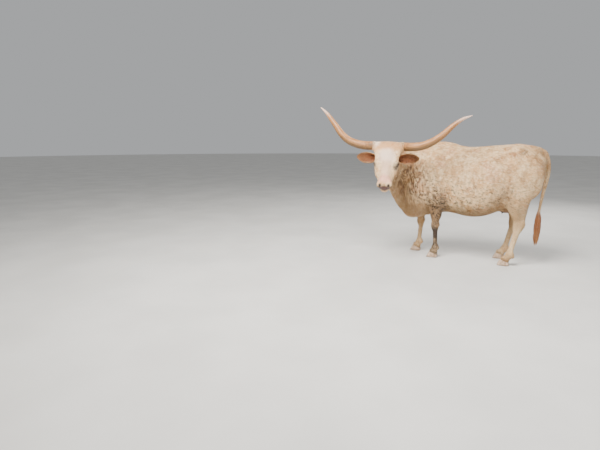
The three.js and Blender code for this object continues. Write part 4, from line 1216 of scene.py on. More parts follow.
def spread(corners, normals, density, seed):
    """Roots at random over triangles, with a density in tufts per square centimetre."""
    draw = np.random.default_rng(seed)
    sides = corners[:, 1] - corners[:, 0], corners[:, 2] - corners[:, 0]
    area = np.linalg.norm(np.cross(*sides), axis=1) / 200
    wanted = area * density
    count = np.floor(wanted + draw.random(len(area))).astype(int)
    chosen = np.repeat(np.arange(len(area)), count)
    a, b = draw.random((2, len(chosen)))
    flip = a + b > 1
    a, b = np.where(flip, 1 - a, a), np.where(flip, 1 - b, b)
    share = np.column_stack([1 - a - b, a, b])[:, :, None]
    return (corners[chosen] * share).sum(1), unit((normals[chosen] * share).sum(1))


def tuft_shapes(roots, normals, ways, lengths, widths, lift, seed):
    """The five points of each tuft, as an array (tufts, 5, 3)."""
    draw = np.random.default_rng(seed)
    along = unit(ways - (ways * normals).sum(1, keepdims=True) * normals)
    across = np.cross(normals, along)
    turn = draw.normal(0, 0.17, len(roots))[:, None]
    along, across = along * np.cos(turn) + across * np.sin(turn), across * np.cos(turn) - along * np.sin(turn)
    long = (lengths * draw.uniform(0.75, 1.25, len(roots)))[:, None]
    wide = (widths * draw.uniform(0.7, 1.3, len(roots)))[:, None] / 2
    rise = (lift * draw.uniform(0.5, 1.5, len(roots)))[:, None]
    middle = roots + along * long * 0.42 + normals * long * 0.5 * rise
    bend = draw.normal(0, 0.06, len(roots))[:, None]
    tip = roots + along * long + across * long * bend + normals * long * 0.6 * rise
    return np.stack([roots - normals * 1.2 - along * long * 0.05, middle - across * wide,
                     middle + across * wide, middle + normals * wide * 0.75, tip], 1)


TUFT_FACES = np.array([[0, 2, 1], [0, 3, 2], [0, 1, 3], [1, 2, 4], [2, 3, 4], [3, 1, 4]])
TUFT_PATCH = np.array([[0, -1], [-0.8, 0], [0.8, 0], [0, 0.3], [0, 1]]) * 0.0014
TUFT_ALONG = np.array([0, 0.42, 0.42, 0.45, 1])


def tuft_piece(name, shapes, roots, patches):
    """One coat piece from many tufts."""
    count = len(shapes)
    mesh = bpy.data.meshes.new(name)
    mesh.vertices.add(count * 5)
    mesh.vertices.foreach_set("co", (shapes.reshape(-1, 3) / 1000 + ORIGIN).astype(np.float32).ravel())
    corners = (TUFT_FACES[None] + 5 * np.arange(count)[:, None, None]).reshape(-1, 3).astype(np.int32)
    mesh.loops.add(corners.size)
    mesh.loops.foreach_set("vertex_index", corners.ravel())
    mesh.polygons.add(len(corners))
    mesh.polygons.foreach_set("loop_start", np.arange(0, corners.size, 3, dtype=np.int32))
    mesh.polygons.foreach_set("use_smooth", np.ones(len(corners), bool))
    mesh.update(calc_edges=True)
    uv = mesh.uv_layers.new(name="OFBake")
    places = (patches[:, None] + TUFT_PATCH).reshape(-1, 2)[corners.ravel()]
    uv.data.foreach_set("uv", np.clip(places, 0.001, 0.999).astype(np.float32).ravel())
    thing = in_scene(name, mesh)
    mark(thing, "root", roots.repeat(5, 0) / 1000 + ORIGIN)
    mark(thing, "along_hair", np.tile(TUFT_ALONG, count))
    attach(thing, "root")
    return thing


# %% [markdown]
# ## The coat
# Her coat is short and lies close. Blender's own hair curves would not survive an export as a solid, so
# the tufts above are spread over the skin, closest together where they are shortest, and cut from head to
# tail into pieces of a size that any program can open.

# %% Coat over the skin
corners, corner_normals = triangles_of(skin.data)
middles = corners.mean(1)
length = hair_length(middles)
density = np.interp(length, [5, 9, 12, 19], [8.0, 6.5, 4.8, 3.9])
roots, normals = spread(corners, corner_normals, density * ~bare(middles), 21)
free = ~bare(roots)
roots, normals = roots[free], normals[free]
length = hair_length(roots)
x, y, z = roots.T
sway = np.column_stack([np.sin(z / 31 + x / 47), np.sin(x / 29 + y / 37), np.sin(y / 33 + z / 41)])
ways = unit(way_of_hair(roots) + 0.14 * sway)
lift = np.interp(length, [8, 19, 22], [0.17, 0.12, 0.16])
shapes = tuft_shapes(roots, normals, ways, length, 0.72 + 0.05 * length, lift, 22)
patches = rolled_out(roots)
COAT_SHARE = 32000
order = np.argsort(roots[:, 0])
coat = [tuft_piece(f"coat_{i}", shapes[some], roots[some], patches[some])
        for i, some in enumerate(np.array_split(order, math.ceil(len(order) / COAT_SHARE)))]
print("tufts", len(roots), "in", len(coat), "coat pieces")

# %% [markdown]
# ## Hair that stands out
# A few places need their own hair: a collar that hides where each horn leaves the skin, the fringe and
# the long hair inside each ear, hair over the top of each hoof, and lashes. They are the same tufts,
# with their own roots and ways.


# %% Hair of the ears
def ear_hair(name, side, seed):
    """The short hair on the back of an ear and the long hair inside it and along its rim."""
    axes, root = ear_frame(side)
    draw = np.random.default_rng(seed)
    rows, cols = 60, 50
    made = []
    for face, count, long, wide, lift in ((0, 5200, 8, 1.5, 0.16), (1, 3000, 17, 1.2, 0.42)):
        grid = ear_grid(rows, cols, face)
        i, j = draw.uniform(1, rows - 8 - 6 * face, count), draw.uniform(0.2, cols - 1.21, count)
        if face:
            edge = draw.random(count) < 0.45
            rim = np.where(draw.random(count) < 0.5, 0.3, cols - 1.4) + draw.uniform(0, 0.1, count)
            j = np.where(edge, rim, j)
        a, b = i.astype(int), j.astype(int)
        corner, down, across = grid[a, b], grid[a + 1, b], grid[a, b + 1]
        place_in = corner + (down - corner) * (i - a)[:, None] + (across - corner) * (j - b)[:, None]
        out = unit(np.cross(across - corner, down - corner)) * (-1 if face else 1)
        from_middle = grid[a, b] - grid[a, b] * [0, 1, 0]
        out *= np.sign((out * from_middle).sum(1) + 1e-6)[:, None] * (-1 if face else 1)
        way = unit(unit(down - corner) + np.column_stack([0 * i, 0 * i, 0.3 * face + 0 * i]))
        roots, normals, ways = place_in @ axes + root, out @ axes, way @ axes
        shapes = tuft_shapes(roots, normals, ways, np.full(count, long), np.full(count, wide), lift, seed + 1)
        patches = np.column_stack([0.02 + 0.96 * j / cols, 0.02 + 0.96 * i / rows])
        made.append(tuft_piece(name + ("_inner_hair" if face else "_outer_hair"), shapes, roots, patches))
    return made


ear_hairs = [ear_hair("ear_left", 1, 31), ear_hair("ear_right", -1, 33)]
print("ear hair pieces", sum(map(len, ear_hairs)))


# %% Collars of the horns, hair over the hooves, and lashes
def ring_hair(name, centre, way, radius, count, long, wide, lift, seed, squash=1.0):
    """A ring of tufts round an axis, lying along it."""
    draw = np.random.default_rng(seed)
    way = unit(np.asarray(way, float))
    side = unit(np.cross(way, [0.3, 0.2, 1.0]))
    up = np.cross(side, way)
    a = draw.uniform(0, 2 * math.pi, count)
    out = np.cos(a)[:, None] * side + np.sin(a)[:, None] * up
    back = draw.uniform(-28, 3, count)[:, None] * way
    roots = centre + out * (radius + draw.uniform(-2, 0.5, count))[:, None] * [1, squash, 1] + back
    ways, lengths, widths = np.tile(way, (count, 1)), np.full(count, long), np.full(count, wide)
    shapes = tuft_shapes(roots, out, ways, lengths, widths, lift, seed + 1)
    patches = np.column_stack([0.02 + 0.96 * a / 7, 0.5 + back @ way / 60])
    return tuft_piece(name, shapes, roots, patches)


COLLAR_TUFTS, CORONET_TUFTS = 2200, 900
extra_hair = []
for side, word in ((1, "left"), (-1, "right")):
    seat = from_head([[HORN_SEAT[0], side * 166, HORN_SEAT[2]]])[0]
    extra_hair.append(ring_hair("horn_collar_" + word, seat, horn_way(side), HORN_BASE + 1.5, COLLAR_TUFTS,
                                15, 1.5, 0.07, 40 + side))
for i, (leg, (*_, foot)) in enumerate(LEGS.items()):
    centre = np.array([foot[0] + 2, foot[1], CORONET + 2], float)
    extra_hair.append(ring_hair(leg + "_coronet_hair", centre, [-0.35, 0, -1], 44, CORONET_TUFTS,
                                15, 1.6, 0.2, 50 + i))


def lashes(name, side, seed):
    """The upper and lower lashes of one eye."""
    draw = np.random.default_rng(seed)
    a = np.concatenate([np.linspace(-0.8, 0.85, 70), np.linspace(-0.6, 0.7, 30)])
    upper = np.arange(100) < 70
    b = np.where(upper, lid_edges(a)[0] + 0.07, lid_edges(a)[1] - 0.07) + draw.normal(0, 0.02, 100)
    facing = (np.cos(b) * np.cos(a))[:, None] * np.array(EYE_LOOKS) + np.sin(b)[:, None] * np.array(EYE_UP)
    facing += (np.cos(b) * np.sin(a))[:, None] * np.array(EYE_ALONG)
    ways = facing * 0.75 + np.where(upper, 0.25, -0.5)[:, None] * np.array(EYE_UP) + [0.15, 0, 0]
    roots, normals = EYE_AT + facing * (EYE_RADIUS + 3.2), np.tile(EYE_UP, (100, 1))
    mirror = np.array([1, side, 1])
    roots, normals = from_head(roots * mirror), normals * mirror @ HEAD_AXES
    ways = unit(ways) * mirror @ HEAD_AXES
    lengths = np.where(upper, 12, 7) * draw.uniform(0.7, 1.1, 100)
    lift = np.where(upper, -0.25, 0.2)
    shapes = tuft_shapes(roots, normals, ways, lengths, np.full(100, 0.7), lift, seed + 1)
    return tuft_piece(name, shapes, roots, np.column_stack([0.5 + a / 3, 0.5 + b / 3]))


lash_pieces = [lashes("lashes_left", 1, 61), lashes("lashes_right", -1, 63)]
print("extra hair pieces", len(extra_hair) + len(lash_pieces) + sum(map(len, ear_hairs)))

# %% [markdown]
# ## Materials
# Every finish is a small network of nodes. A helper keeps that short: it adds a node, fills its
# inputs with values or with other nodes' outputs, and hands back its first output. Effects that more
# than one material uses are node groups.


# %% A helper for node trees
class Nodes:
    """Adds nodes to a tree and joins them up."""

    def __init__(self, tree):
        self.tree = tree

    def add(self, kind, inputs=(), out=0, **settings):
        """A node with its settings and inputs; gives one of its outputs."""
        node = self.tree.nodes.new(kind)
        for key, value in settings.items():
            setattr(node, key, value)
        pairs = inputs.items() if isinstance(inputs, dict) else enumerate(inputs)
        for key, value in pairs:
            if isinstance(value, bpy.types.NodeSocket):
                self.tree.links.new(value, node.inputs[key])
            elif value is not None:
                node.inputs[key].default_value = value
        return node.outputs[out]

    def math(self, way, *values):
        """A sum, a product or the like of single numbers."""
        return self.add("ShaderNodeMath", values, operation=way)

    def vector(self, way, *values, out=0):
        """The same for vectors; output 1 is a single number, such as a length."""
        return self.add("ShaderNodeVectorMath", values, out, operation=way)

    def span(self, value, low, high, to_low=0.0, to_high=1.0):
        """A value carried smoothly from one range to another."""
        return self.add("ShaderNodeMapRange", [value, low, high, to_low, to_high],
                        interpolation_type="SMOOTHSTEP")

    def mix(self, share, first, second, way="MIX"):
        """Two colours mixed."""
        return self.add("ShaderNodeMix", {0: share, 6: first, 7: second}, 2, data_type="RGBA", blend_type=way)

    def noise(self, at, scale, detail=3.0, rough=0.5):
        """Cloudy noise between 0 and 1, its scale in waves to the metre."""
        return self.add("ShaderNodeTexNoise",
                        {"Vector": at, "Scale": scale, "Detail": detail, "Roughness": rough})

    def kept(self, name, out=1):
        """What mark() kept on a piece: output 1 for a vector, 2 for a number."""
        return self.add("ShaderNodeAttribute", out=out, attribute_name=name)

    def tint(self, colour, shade, where, share):
        """A colour turned toward a shade, by a share of the mask where."""
        return self.mix(self.math("MULTIPLY", where, share), colour, shade)

    def bump(self, height, strength, distance):
        """A normal that follows a height, for relief too fine for the mesh."""
        return self.add("ShaderNodeBump", {"Strength": strength, "Distance": distance, "Height": height})

    def zone(self, at, middle, size, soft=0.5):
        """1 inside an egg-shaped zone, falling to 0 outside it."""
        off = self.vector("DIVIDE", self.vector("SUBTRACT", at, middle), size)
        return self.span(self.vector("LENGTH", off, out=1), 1 + soft, 1 - soft)


def group(name, inputs, outputs):
    """A node group with named sockets: its tree, its helper and its input node."""
    tree = bpy.data.node_groups.new(name, "ShaderNodeTree")
    for key, kind in inputs:
        tree.interface.new_socket(key, in_out="INPUT", socket_type="NodeSocket" + kind)
    for key, kind in outputs:
        tree.interface.new_socket(key, in_out="OUTPUT", socket_type="NodeSocket" + kind)
    return tree, Nodes(tree), tree.nodes.new("NodeGroupInput")


def material(name, roughness):
    """A new material, its helper and its shader."""
    made = bpy.data.materials.new(name)
    made.use_nodes = True
    shader = made.node_tree.nodes["Principled BSDF"]
    shader.inputs["Roughness"].default_value = roughness
    return made, Nodes(made.node_tree), shader


def join(n, shader, key, value):
    """Feeds one of the shader's sockets."""
    n.tree.links.new(value, shader.inputs[key])


# %% [markdown]
# ## Markings and painted shade
# Her coat is cream, mottled with tan and a little pink, with brown streaks down the neck, dark specks
# and patches on the forelegs, a tan band over the poll and a grey patch below one eye. The group takes
# a place and gives the colour there, so skin and tufts carry the same markings. Soft egg-shaped zones
# say where each tone lies, and noise breaks up their edges. Some zones add painted shade: under the
# belly, in the flank fold, over the udder's own reddish skin, in the nostrils and along the mouth.

# %% Body tones
CREAM, LIGHT, TAN = tone(228, 184, 130), tone(248, 218, 172), tone(184, 136, 84)
DARK, PINK = tone(50, 34, 20), tone(228, 172, 134)
NECK_STREAK, UDDER_SKIN_AND_SHADE = tone(112, 74, 42), tone(104, 62, 42)
BODY_ZONES = [
    ((-0.82, -0.10, 0.80), (0.12, 0.22, 0.24), 0.7, tone(180, 142, 96), 0.55),
    ((-0.70, -0.10, 0.56), (0.20, 0.20, 0.13), 0.6, tone(150, 112, 66), 0.75),
    # Painted shade under the belly, over a little of its own warm tan.
    ((0.02, 0.00, 0.50), (0.54, 0.44, 0.14), 0.7, tone(132, 98, 56), 0.8),
    ((-0.30, -0.25, 0.62), (0.08, 0.12, 0.16), 0.7, tone(140, 112, 78), 0.6),
    # Painted shade in the fold of the flank.
    ((0.30, -0.20, 0.76), (0.12, 0.15, 0.16), 0.7, tone(150, 112, 72), 0.65),
    ((0.68, 0.00, 1.20), (0.10, 0.16, 0.18), 0.8, tone(150, 112, 74), 0.6),
    ((0.50, -0.20, 0.62), (0.12, 0.14, 0.16), 0.7, tone(186, 154, 112), 0.5),
    ((-0.40, -0.17, 0.54), (0.12, 0.12, 0.20), 0.7, tone(160, 124, 84), 0.8),
    ((-0.385, -0.16, 0.24), (0.09, 0.10, 0.18), 0.6, tone(88, 66, 44), 0.85),
    ((-0.62, 0.12, 0.34), (0.16, 0.12, 0.34), 0.6, tone(160, 126, 84), 0.6),
    ((0.42, 0.16, 0.34), (0.16, 0.12, 0.32), 0.6, tone(168, 140, 102), 0.6),
    ((0.49, -0.17, 0.30), (0.10, 0.10, 0.18), 0.9, tone(230, 206, 166), 0.5),
    ((0.40, -0.17, 0.10), (0.14, 0.12, 0.07), 0.5, tone(176, 144, 102), 0.6),
]
HEAD_ZONES = [
    ((0.04, 0.00, -0.02), (0.060, 0.190, 0.080), 0.6, tone(208, 150, 94), 0.85),
    ((0.00, -0.13, -0.04), (0.055, 0.050, 0.070), 0.5, tone(240, 222, 200), 0.85),
    ((0.17, 0.00, -0.01), (0.090, 0.085, 0.070), 0.5, tone(240, 216, 196), 0.9),
    ((0.34, 0.00, -0.03), (0.120, 0.055, 0.060), 0.6, tone(232, 198, 172), 0.8),
    ((0.30, 0.09, -0.13), (0.110, 0.050, 0.070), 0.6, tone(196, 158, 118), 0.55),
    ((0.30, -0.09, -0.13), (0.110, 0.050, 0.070), 0.6, tone(196, 158, 118), 0.55),
    ((0.272, 0.104, -0.050), (0.046, 0.032, 0.038), 0.45, tone(66, 54, 46), 0.85),
    ((0.455, 0.00, -0.04), (0.050, 0.080, 0.060), 0.5, tone(236, 180, 156), 0.9),
]
print("zones", len(BODY_ZONES), "on the body and", len(HEAD_ZONES), "on the head")


# %% Markings group
def head_parts(n, at):
    """A drawing place, in metres, as three numbers in the head's frame."""
    off = n.vector("SUBTRACT", at, tuple(FOREHEAD_TOP / 1000))
    return [n.vector("DOT_PRODUCT", off, tuple(axis), out=1) for axis in HEAD_AXES]


def folded(n, parts):
    """The same place with the right side folded over onto the left."""
    return n.add("ShaderNodeCombineXYZ", [parts[0], n.math("ABSOLUTE", parts[1]), parts[2]])


tree, n, given = group("coat_markings", [("Place", "Vector")], [("Colour", "Color"), ("Dark", "Float")])
at = n.vector("SUBTRACT", given.outputs["Place"], tuple(ORIGIN))
wobble = n.add("ShaderNodeTexNoise", {"Vector": at, "Scale": 14.0, "Detail": 3.0}, 1)
shift = n.vector("MULTIPLY", n.vector("SUBTRACT", wobble, (0.5, 0.5, 0.5)), (0.11, 0.11, 0.11))
loose = n.vector("ADD", at, shift)
mottle = n.span(n.noise(at, 7.0, 6.0, 0.7), 0.42, 0.62)
colour = n.mix(mottle, LIGHT, CREAM)
colour = n.mix(n.span(n.noise(loose, 14.0, 6.0, 0.7), 0.50, 0.62, 0, 0.75), colour, TAN)
colour = n.mix(n.span(n.noise(loose, 5.0, 4.0), 0.53, 0.66, 0, 0.45), colour, PINK)
colour = n.mix(n.span(n.noise(at, 70.0, 3.0, 0.6), 0.5, 0.64, 0, 0.55), colour, tone(164, 124, 84))
colour = n.mix(n.span(n.noise(at, 48.0, 3.0, 0.6), 0.52, 0.64, 0, 0.7), colour, tone(254, 236, 202))
hanging = n.noise(n.vector("MULTIPLY", at, (34.0, 34.0, 7.0)), 1.0, 4.0, 0.6)
colour = n.mix(n.span(hanging, 0.52, 0.64, 0, 0.5), colour, tone(176, 130, 84))
for middle, size, soft, shade, share in BODY_ZONES:
    colour = n.tint(colour, shade, n.zone(loose, middle, size, soft), share)
grain = n.noise(n.vector("MULTIPLY", at, (60.0, 60.0, 7.0)), 1.0, 5.0, 0.62)
on_neck = n.zone(loose, (-0.68, -0.16, 0.91), (0.22, 0.26, 0.28), 0.5)
colour = n.tint(colour, NECK_STREAK, n.span(grain, 0.46, 0.58), on_neck)
colour = n.tint(colour, tone(226, 196, 152), n.span(grain, 0.47, 0.38), on_neck)
# The udder: its own reddish-brown skin, made darker still by painted shade under the body.
udder_zone = n.zone(at, (0.375, 0.0, 0.60), (0.11, 0.085, 0.11), 0.25)
colour = n.mix(udder_zone, colour, UDDER_SKIN_AND_SHADE)
teat_zone = n.zone(at, (0.325, -0.05, 0.565), (0.03, 0.035, 0.05), 0.3)
colour = n.mix(teat_zone, colour, tone(48, 32, 26))
specks = n.add("ShaderNodeTexVoronoi", {"Vector": loose, "Scale": 62.0, "Randomness": 1.0})
speck = n.span(specks, 0.54, 0.36)
big_speck = n.span(specks, 0.70, 0.46)
dense = n.math("ADD", n.zone(at, (-0.375, -0.19, 0.66), (0.12, 0.12, 0.20), 0.4),
               n.zone(at, (-0.37, -0.17, 0.24), (0.09, 0.10, 0.20), 0.5))
few = n.math("ADD", n.zone(at, (0.00, -0.30, 0.74), (0.62, 0.18, 0.22), 0.5),
             n.zone(at, (-0.62, -0.25, 0.86), (0.24, 0.2, 0.26), 0.5))
patchy = n.span(n.noise(at, 24.0, 3.0), 0.34, 0.48)
few = n.math("MULTIPLY", few, n.span(n.noise(at, 31.0, 2.0), 0.5, 0.58))
crowded = n.math("MULTIPLY", n.math("MULTIPLY", dense, patchy), big_speck)
dark = n.math("ADD", crowded, n.math("MULTIPLY", few, speck))
knee_patch = n.zone(loose, (-0.385, -0.175, 0.310), (0.060, 0.060, 0.062), 0.3)
darkest = n.math("MAXIMUM", dark, knee_patch)
dark = n.add("ShaderNodeMath", [darkest, 0.93], operation="MULTIPLY", use_clamp=True)
colour = n.mix(dark, colour, DARK)
parts = head_parts(n, at)
head_at = n.add("ShaderNodeCombineXYZ", parts)
head_loose = n.vector("ADD", head_at, n.vector("MULTIPLY", shift, (0.35, 0.35, 0.35)))
for middle, size, soft, shade, share in HEAD_ZONES:
    colour = n.tint(colour, shade, n.zone(head_loose, middle, size, soft), share)
mirrored = folded(n, parts)
lid_zone = n.zone(mirrored, tuple(EYE_AT / 1000 + [0.002, 0.006, 0.003]), (0.034, 0.028, 0.025), 0.3)
colour = n.tint(colour, tone(50, 38, 32), lid_zone, 0.92)
nose_zone = n.zone(mirrored, (0.520, 0.0, -0.104), (0.050, 0.082, 0.048), 0.25)
nose_tone = n.mix(n.span(n.noise(at, 60.0, 4.0), 0.35, 0.65), tone(56, 30, 26), tone(104, 60, 52))
colour = n.mix(nose_zone, colour, nose_tone)
# Painted shade inside the nostril hollows.
nostril_middle = tuple(nostril_line[2] / 1000 - [0.006, 0.004, 0.004])
painted_nostril_shade = n.zone(mirrored, nostril_middle, (0.020, 0.016, 0.020), 0.35)
colour = n.mix(painted_nostril_shade, colour, tone(44, 26, 22))
lip_zone = n.zone(mirrored, (0.500, 0.0, -0.184), (0.070, 0.080, 0.036), 0.3)
colour = n.tint(colour, tone(222, 184, 154), lip_zone, 0.9)
# Painted shade in the crease between the lips.
painted_mouth_shade = n.zone(mirrored, (0.485, 0.0, -0.137), (0.075, 0.085, 0.0075), 0.4)
colour = n.tint(colour, tone(58, 36, 30), painted_mouth_shade, 0.9)
colour = n.add("ShaderNodeHueSaturation", {"Saturation": 1.06, "Value": 1.0, "Color": colour})
colour = n.add("ShaderNodeBrightContrast", {"Color": colour, "Bright": 0.0, "Contrast": 0.02})
leave = tree.nodes.new("NodeGroupOutput")
tree.links.new(colour, leave.inputs["Colour"])
tree.links.new(n.math("MAXIMUM", dark, nose_zone), leave.inputs["Dark"])
markings = tree
print("markings made of", len(tree.nodes), "nodes")

# %% [markdown]
# ## Fine hair
# Between the tufts the skin shows hair too fine to model. Noise that is stretched along the lie of the
# coat, backward on the body and downward on the legs, stands in for it. Skin and ears both use it.

# %% Hair bump group
tree, n, given = group("short_hair", [("Place", "Vector"), ("Strength", "Float")],
                       [("Normal", "Vector"), ("Streak", "Float")])
back = n.noise(n.vector("MULTIPLY", given.outputs["Place"], (90.0, 620.0, 620.0)), 1.0, 3.0)
down = n.noise(n.vector("MULTIPLY", given.outputs["Place"], (620.0, 620.0, 90.0)), 1.0, 3.0)
rise = n.add("ShaderNodeSeparateXYZ", [given.outputs["Place"]], 2)
on_leg = n.span(rise, 0.62, 0.46)
fine = n.math("ADD", n.math("MULTIPLY", down, on_leg),
              n.math("MULTIPLY", back, n.math("SUBTRACT", 1.0, on_leg)))
coarse = n.noise(given.outputs["Place"], 90.0, 3.0)
height = n.math("ADD", fine, n.math("MULTIPLY", coarse, 0.5))
bump = n.bump(height, given.outputs["Strength"], 0.0024)
leave = tree.nodes.new("NodeGroupOutput")
tree.links.new(bump, leave.inputs["Normal"])
tree.links.new(fine, leave.inputs["Streak"])
short_hair = tree
print("short hair made of", len(tree.nodes), "nodes")

# %% [markdown]
# ## Skin and coat
# The skin is seen only between tufts, so it takes the coat's markings with painted shade in the gaps
# between hairs, and shines a little on the wet nose. A tuft takes its whole colour from the place of its
# root, as a lock of hair has one colour, and varies a little from its neighbours.

# %% Skin and coat materials
def marked(n, spot):
    """The markings at a place: colour and dark."""
    node = n.tree.nodes.new("ShaderNodeGroup")
    node.node_tree = markings
    n.tree.links.new(spot, node.inputs["Place"])
    return node.outputs["Colour"], node.outputs["Dark"]


def place_of(n):
    """Where a skin point lies: its piece sits at the origin, so this is its place in the scene."""
    return n.add("ShaderNodeTexCoord", out=3)


def hair_at(n, spot, strength):
    """The short hair at a place: its normal and its streaks."""
    node = n.tree.nodes.new("ShaderNodeGroup")
    node.node_tree = short_hair
    n.tree.links.new(spot, node.inputs["Place"])
    node.inputs["Strength"].default_value = strength
    return node.outputs["Normal"], node.outputs["Streak"]


skin_look, n, shader = material("skin_look", 0.72)
spot = place_of(n)
colour, dark = marked(n, spot)
normal, streak = hair_at(n, spot, 0.7)
# Painted shade: the skin darkened in the gaps between the fine hair streaks.
colour = n.mix(n.span(streak, 0.5, 0.36, 0, 0.5), colour, tone(186, 150, 112), "MULTIPLY")
bright = n.math("MULTIPLY", n.span(streak, 0.52, 0.66, 0, 0.4), n.math("SUBTRACT", 1.0, dark))
colour = n.mix(bright, colour, tone(252, 238, 212))
join(n, shader, "Base Color", colour)
join(n, shader, "Normal", normal)
nose_off = n.vector("SUBTRACT", spot, tuple(from_head([[520, 0, -115]])[0] / 1000 + ORIGIN))
join(n, shader, "Roughness", n.span(n.vector("LENGTH", nose_off, out=1), 0.06, 0.085, 0.34, 0.74))
shader.inputs["Sheen Weight"].default_value = 0.15

coat_look, n, shader = material("coat_look", 0.62)
root = n.kept("root")
colour, dark = marked(n, root)
vary = n.noise(root, 420.0, 1.0)
colour = n.mix(n.span(vary, 0.45, 0.75, 0, 0.16), colour, tone(190, 146, 100), "MULTIPLY")
bright = n.math("MULTIPLY", n.span(vary, 0.45, 0.25, 0, 0.2), n.math("SUBTRACT", 1.0, dark))
colour = n.mix(bright, colour, tone(252, 238, 212))
join(n, shader, "Base Color", colour)
join(n, shader, "Roughness", n.span(vary, 0.2, 0.8, 0.55, 0.72))
shader.inputs["Sheen Weight"].default_value = 0.2
shader.inputs["Sheen Roughness"].default_value = 0.5
print("skin and coat looks made")

# %% [markdown]
# ## Ears, lashes and switch
# The ears are cream behind and warm orange-brown inside, darkest deep in the cup. The tail's switch
# runs from red-brown to a golden end, each lock a little different from its neighbours.

# %% Ear, lash and switch materials
EAR_WARM, EAR_DEEP = tone(140, 78, 42), tone(84, 42, 20)
ear_look, n, shader = material("ear_look", 0.7)
spot = place_of(n)
colour = marked(n, spot)[0]
inside = n.kept("inside", 2)
warm = n.mix(n.span(n.noise(spot, 55.0, 3.0), 0.4, 0.7), EAR_WARM, EAR_DEEP)
colour = n.mix(n.span(inside, 0.3, 0.9), colour, warm)
join(n, shader, "Base Color", colour)
join(n, shader, "Normal", hair_at(n, spot, 0.5)[0])

ear_hair_look, n, shader = material("ear_hair_look", 0.6)
root = n.kept("root")
vary = n.noise(root, 160.0, 2.0)
colour = n.mix(n.span(vary, 0.3, 0.7), tone(146, 86, 48), tone(196, 146, 98))
join(n, shader, "Base Color", colour)
join(n, shader, "Roughness", n.span(vary, 0.3, 0.7, 0.5, 0.7))

lash_look, n, shader = material("lash_look", 0.5)
root = n.kept("root")
vary = n.noise(root, 300.0)
join(n, shader, "Base Color", n.mix(n.span(vary, 0.3, 0.7), tone(46, 34, 28), tone(120, 94, 72)))

switch_look, n, shader = material("switch_look", 0.5)
root = n.kept("root")
along_hair = n.kept("along_hair", 2)
vary = n.noise(root, 900.0, 1.0)
colour = n.mix(n.span(vary, 0.3, 0.7), tone(116, 62, 32), tone(168, 106, 58))
colour = n.mix(n.span(along_hair, 0.45, 1.0, 0, 0.65), colour, tone(184, 132, 70))
colour = n.mix(n.span(along_hair, 0.0, 0.3, 0.7, 0), colour, tone(214, 190, 158))
join(n, shader, "Base Color", colour)
strand = n.noise(n.vector("MULTIPLY", place_of(n), (1400.0, 1400.0, 60.0)), 1.0, 2.0)
join(n, shader, "Normal", n.bump(strand, 0.6, 0.001))
shader.inputs["Sheen Weight"].default_value = 0.2
print("ear, lash and switch looks made")

# %% [markdown]
# ## Horn
# Horn is warm tan with long streaks, darker and ringed toward the skull, with painted shade underneath,
# and pale pink at the tip. The streaks run along the sheath, so they are noise over the values that each
# horn keeps for how far along and how far round it a point lies.

# %% Horn material
horn_look, n, shader = material("horn_look", 0.42)
grain = n.kept("grain")
along, north = (n.add("ShaderNodeSeparateXYZ", [grain], i) for i in (0, 2))
streak = n.noise(n.vector("MULTIPLY", grain, (7.0, 5.0, 5.0)), 1.0, 5.0, 0.6)
fine_streak = n.noise(n.vector("MULTIPLY", grain, (16.0, 26.0, 26.0)), 1.0, 4.0, 0.6)
colour = n.mix(n.span(streak, 0.36, 0.64), tone(200, 142, 88), tone(146, 96, 52))
colour = n.mix(n.span(fine_streak, 0.46, 0.7, 0, 0.6), colour, tone(134, 88, 48))
# Painted shade on the underside of the horn, fading out toward the tip.
painted_shade_under = n.math("MULTIPLY", n.span(north, 0.45, -0.55), n.span(along, 0.8, 0.35))
colour = n.tint(colour, tone(96, 74, 42), painted_shade_under, 0.8)
rings = n.math("SINE", n.math("ADD", n.math("MULTIPLY", along, 210.0), n.math("MULTIPLY", streak, 9.0)))
near_skull = n.span(along, 0.34, 0.06)
band_noise = n.span(n.noise(n.vector("MULTIPLY", grain, (22.0, 1.2, 1.2)), 1.0, 2.0), 0.5, 0.62)
colour = n.tint(colour, tone(98, 74, 48), n.math("MULTIPLY", band_noise, near_skull), 0.75)
colour = n.tint(colour, tone(120, 84, 52), n.span(rings, 0.2, 1.0), n.math("MULTIPLY", near_skull, 0.45))
colour = n.mix(n.span(along, 0.76, 0.97, 0, 0.8), colour, tone(230, 200, 184))
join(n, shader, "Base Color", colour)
height = n.math("ADD", n.math("MULTIPLY", rings, n.math("MULTIPLY", near_skull, 0.6)), fine_streak)
join(n, shader, "Normal", n.bump(height, 0.35, 0.0015))
join(n, shader, "Roughness", n.span(n.math("ADD", near_skull, streak), 0.3, 1.5, 0.44, 0.66))
shader.inputs["Coat Weight"].default_value = 0.04
shader.inputs["Coat Roughness"].default_value = 0.3

print("horn look made")

# %% [markdown]
# ## Hoof
# A hoof is dull horn with growth rings and darker at the ground. Waves that follow the height, bent by
# a little noise, give the rings their uneven run round each claw.

